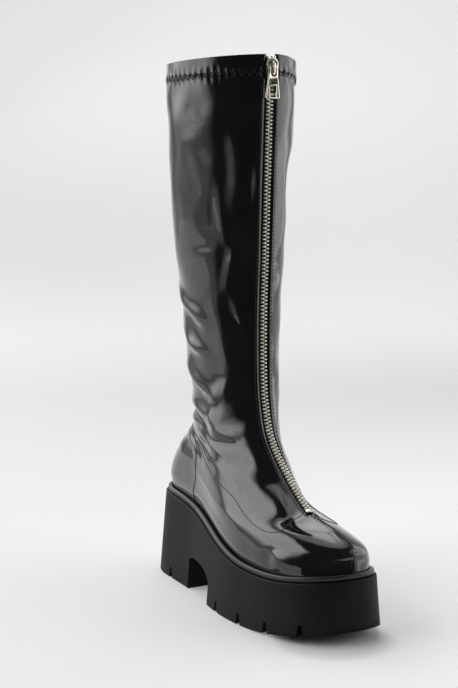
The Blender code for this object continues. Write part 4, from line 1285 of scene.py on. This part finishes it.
def swept(name, sections, closed=False):
    """Closed mesh through sections along a path; the path is a ring when closed."""
    sides = len(sections[0])
    count = len(sections)
    faces = []
    if not closed:
        faces = [tuple(range(sides)), tuple((count - 1) * sides + k for k in range(sides))]
    for i in range(count if closed else count - 1):
        here = i * sides
        there = ((i + 1) % count) * sides
        for k in range(sides):
            faces.append((here + k, there + k, there + (k + 1) % sides, here + (k + 1) % sides))
    return close_shell(name, shell(np.concatenate(sections), faces))


def sole_bottom(x):
    """Height of the sole's underside: flat, with a bevel at the heel's back and a toe spring."""
    toe = np.clip((x - TOE_SPRING_FROM) / (TOE_SPRING_TO - TOE_SPRING_FROM), 0.0, None)
    bevel = np.clip((x + LEDGE - HEEL_BEVEL_LENGTH) / -HEEL_BEVEL_LENGTH, 0.0, None)
    return TOE_SPRING * toe**TOE_SPRING_POWER + HEEL_BEVEL * bevel**2


def sole_loops():
    """Outlines of the sole from its top face down to its underside, and the lower outline.

    The lower edge is rounded all round and cut back at the toe.
    """
    loops = []
    for k in range(ROUND_STEPS + 1):
        turn = 0.5 * math.pi * k / ROUND_STEPS
        loops.append(rim_loop(LEDGE - EDGE_ROUND * (1.0 - math.sin(turn)),
                              -WELT_HEIGHT - EDGE_ROUND * (1.0 - math.cos(turn))))
    top_side = loops[-1]
    flare = (top_side[:, 2] - sole_bottom(top_side[:, 0])) * math.tan(math.radians(FLARE_DEG))
    low_side = rim_loop(LEDGE + flare, 0.0)
    toe = ease(TOE_BEVEL_FROM, TOE_BEVEL_TO, low_side[:, 0])
    rise = EDGE_ROUND + (TOE_BEVEL_HEIGHT - EDGE_ROUND) * toe
    inward = EDGE_ROUND + (TOE_BEVEL_DEPTH - EDGE_ROUND) * toe
    low_side[:, 2] = sole_bottom(low_side[:, 0]) + rise
    for k in range(1, SOLE_LEVELS + 1):
        loops.append(top_side + (low_side - top_side) * k / SOLE_LEVELS)
    for k in range(1, ROUND_STEPS + 1):
        turn = 0.5 * math.pi * k / ROUND_STEPS
        away = (1.0 - math.cos(turn)) * (1.0 - toe) + toe * k / ROUND_STEPS
        down = math.sin(turn) * (1.0 - toe) + toe * k / ROUND_STEPS
        loop = rim_loop(LEDGE + flare - inward * away, 0.0)
        loop[:, 2] = sole_bottom(loop[:, 0]) + rise * (1.0 - down)
        loops.append(loop)
    return loops, low_side


def arch_cutter():
    """Tunnel through the sole from side to side, with a rounded roof."""
    x = np.linspace(ARCH_X[0], ARCH_X[-1], 33)
    z = through(ARCH_X, np.array(ARCH_Z)[:, None], x)[:, 0]
    outline = [(ARCH_X[0], -CUT_BELOW)] + list(zip(x, z)) + [(ARCH_X[-1], -CUT_BELOW)]
    return prism([(px, -CUT_REACH, pz) for px, pz in outline], (0.0, 2.0 * CUT_REACH, 0.0))


def lug_gap_cutter(low_side):
    """Wedges that cut the gaps between the lugs, square to the sole's lower outline."""
    outward = flat_normals(low_side)
    half = len(low_side) // 2
    points = []
    faces = []
    for side_index in (range(1, half), range(half + 1, len(low_side))):
        index = np.array(list(side_index))
        for wanted in LUG_GAP_X:
            at = index[np.argmin(np.abs(low_side[index, 0] - wanted))]
            out = outward[at]
            along = np.array([-out[1], out[0], 0.0])
            foot = low_side[at, 2] - EDGE_ROUND
            start = len(points)
            for depth in (-LUG_GAP_DEPTH, LUG_GAP_OUT):
                centre = low_side[at] * np.array([1.0, 1.0, 0.0]) + out * depth
                for across, height in ((-LUG_GAP_FOOT, -LUG_GAP_BELOW), (LUG_GAP_FOOT, -LUG_GAP_BELOW),
                                       (LUG_GAP_HEAD, LUG_GAP_HEIGHT), (-LUG_GAP_HEAD, LUG_GAP_HEIGHT)):
                    lift = np.array([0.0, 0.0, foot + height])
                    points.append(centre + along * 0.5 * across + lift)
            for face in ((0, 1, 2, 3), (7, 6, 5, 4), (0, 4, 5, 1), (1, 5, 6, 2), (2, 6, 7, 3), (3, 7, 4, 0)):
                faces.append(tuple(start + k for k in face))
    return close_shell("lug_gaps", shell(points, faces))


def squared(wave):
    """A circle's coordinate drawn out towards a square."""
    return np.sign(wave) * np.abs(wave) ** WELT_SQUARE


def build_foot():
    loops, low_side = sole_loops()
    mesh = combine("sole", lofted("sole", loops), arch_cutter(), "DIFFERENCE")
    mesh = combine("sole", mesh, lug_gap_cutter(low_side), "DIFFERENCE")
    on_body(add_piece("platform_sole", mesh, "sole", 35.0), "boot", "sole", "sole_unit")
    base = rim_loop(0.0, 0.0)
    out = flat_normals(base)
    centre = base + out * (GAP + 0.1 + WELT_WIDTH / 2.0)
    centre[:, 2] = base[:, 2] - WELT_HEIGHT / 2.0
    turns = 2.0 * math.pi * (np.arange(WELT_SIDES) + 0.5) / WELT_SIDES
    height = WELT_HEIGHT - 2.0 * GAP
    sections = []
    for middle, away in zip(centre, out):
        sideways = away * (0.5 * WELT_WIDTH * squared(np.cos(turns)))[:, None]
        upward = np.stack([0.0 * turns, 0.0 * turns, 0.5 * height * squared(np.sin(turns))], axis=-1)
        sections.append(middle + sideways + upward)
    on_body(add_piece("foot_bead", swept("bead", sections, True), "welt"), "boot", "welt", "welt")
    low = GAP - WELT_HEIGHT
    inset = -(WALL + INSOLE_PLAY)
    steps = ((0.0, 0.0), (0.0, 0.72), (0.5, 0.92), (1.4, 1.0))
    loops = [rim_loop(inset - inward, low + INSOLE_THICK * share) for inward, share in steps]
    on_body(add_piece("insole_board", lofted("insole", loops), "insole"), "boot", "insole", "insole")


# Studio

STAGE_FRONT = 0.35
STAGE_BACK = 2.4
STAGE_BEND = 0.8
STAGE_HALF = 3.5
STAGE_HEIGHT = 3.2


def build_stage():
    """Floor that curves up into a backdrop behind the boot."""
    profile = [(-STAGE_FRONT, 0.0), (STAGE_BACK - STAGE_BEND, 0.0)]
    for k in range(1, 13):
        turn = 0.5 * math.pi * k / 12
        profile.append((STAGE_BACK - STAGE_BEND + STAGE_BEND * math.sin(turn),
                        STAGE_BEND - STAGE_BEND * math.cos(turn)))
    profile.append((STAGE_BACK, STAGE_HEIGHT))
    turn = math.radians(VIEW_BEARING)
    away = Vector((-math.cos(turn), -math.sin(turn), 0.0))
    across = Vector((away.y, -away.x, 0.0))
    points = []
    for distance, height in profile:
        for side in (-STAGE_HALF, STAGE_HALF):
            points.append(away * distance + across * side + Vector((0.0, 0.0, height)))
    faces = [(2 * k, 2 * k + 1, 2 * k + 3, 2 * k + 2) for k in range(len(profile) - 1)]
    mesh = bpy.data.meshes.new("studio_floor")
    mesh.from_pydata(points, [], faces)
    add_piece("studio_floor", mesh, "floor")


# Softboxes: bearing in degrees left of the camera seen from the boot, distance, height, width, tallness,
# brightness against white, and the shares of width and tallness that fade out at each edge.
SOFTBOXES = (
    ("left_wall", 91.5, 1.5, 1.10, 3.5, 2.1, 2.3, (0.3, 0.22)),
    ("left_low", 91.5, 1.55, 0.75, 3.5, 2.8, 0.5, (0.3, 0.05)),
    ("right_wall", -97.0, 1.7, 0.75, 3.6, 2.2, 1.7, (0.3, 0.15)),
    ("back_left", 145.0, 1.8, 1.20, 1.6, 1.9, 3.0, (0.25, 0.35)),
    ("back_top", 172.0, 1.2, 1.95, 1.8, 1.9, 1.9, (0.2, 0.2)),
    ("overhead", 180.0, 0.65, 2.4, 3.0, 1.7, 1.1, (0.25, 0.2)),
)
# Folds of the softboxes' cloth, per box.
CLOTH_SCALE = 7.0
LIGHT_AIM = 0.4


def make_lights():
    for name, bearing, distance, height, wide, tall, brightness, fade in SOFTBOXES:
        data = bpy.data.lights.new(name, "AREA")
        data.shape = "RECTANGLE"
        data.size = wide
        data.size_y = tall
        data.energy = brightness * math.pi * wide * tall
        data.use_nodes = True
        nodes = Nodes(data.node_tree)
        spot = nodes.add("ShaderNodeNewGeometry", output=5)
        glow = 1.0
        for axis, share in enumerate(fade):
            place = nodes.add("ShaderNodeSeparateXYZ", {}, {0: spot}, axis)
            glow = glow * (nodes.ramp(place, 0.0, share) * nodes.ramp(1.0 - place, 0.0, share))
        glow = glow * (0.7 + 0.6 * nodes.noise(spot, CLOTH_SCALE, 2.0, 0.5))
        emission = data.node_tree.nodes["Emission"]
        data.node_tree.links.new(glow.socket, emission.inputs["Strength"])
        light = bpy.data.objects.new(name, data)
        turn = math.radians(VIEW_BEARING - bearing)
        at = Vector((math.cos(turn) * distance, math.sin(turn) * distance, height))
        light.location = at
        aim = Vector((0.0, 0.0, min(height, LIGHT_AIM)))
        light.rotation_euler = (aim - at).to_track_quat("-Z", "Y").to_euler()
        light.visible_camera = False
        bpy.context.scene.collection.objects.link(light)
    world = bpy.data.worlds.new("studio")
    world.use_nodes = True
    nodes = Nodes(world.node_tree)
    seen = nodes.add("ShaderNodeLightPath", output=0)
    room = nodes.blend(seen, (0.04, 0.04, 0.04, 1.0), (0.80, 0.80, 0.81, 1.0))
    world.node_tree.links.new(room.socket, world.node_tree.nodes["Background"].inputs["Color"])
    bpy.context.scene.world = world
    bpy.context.scene.view_settings.view_transform = "Standard"


make_camera()
build_stage()
make_lights()
on_body(build_upper(), "boot", "upper", "upper")
build_seams()
build_zip()
build_foot()
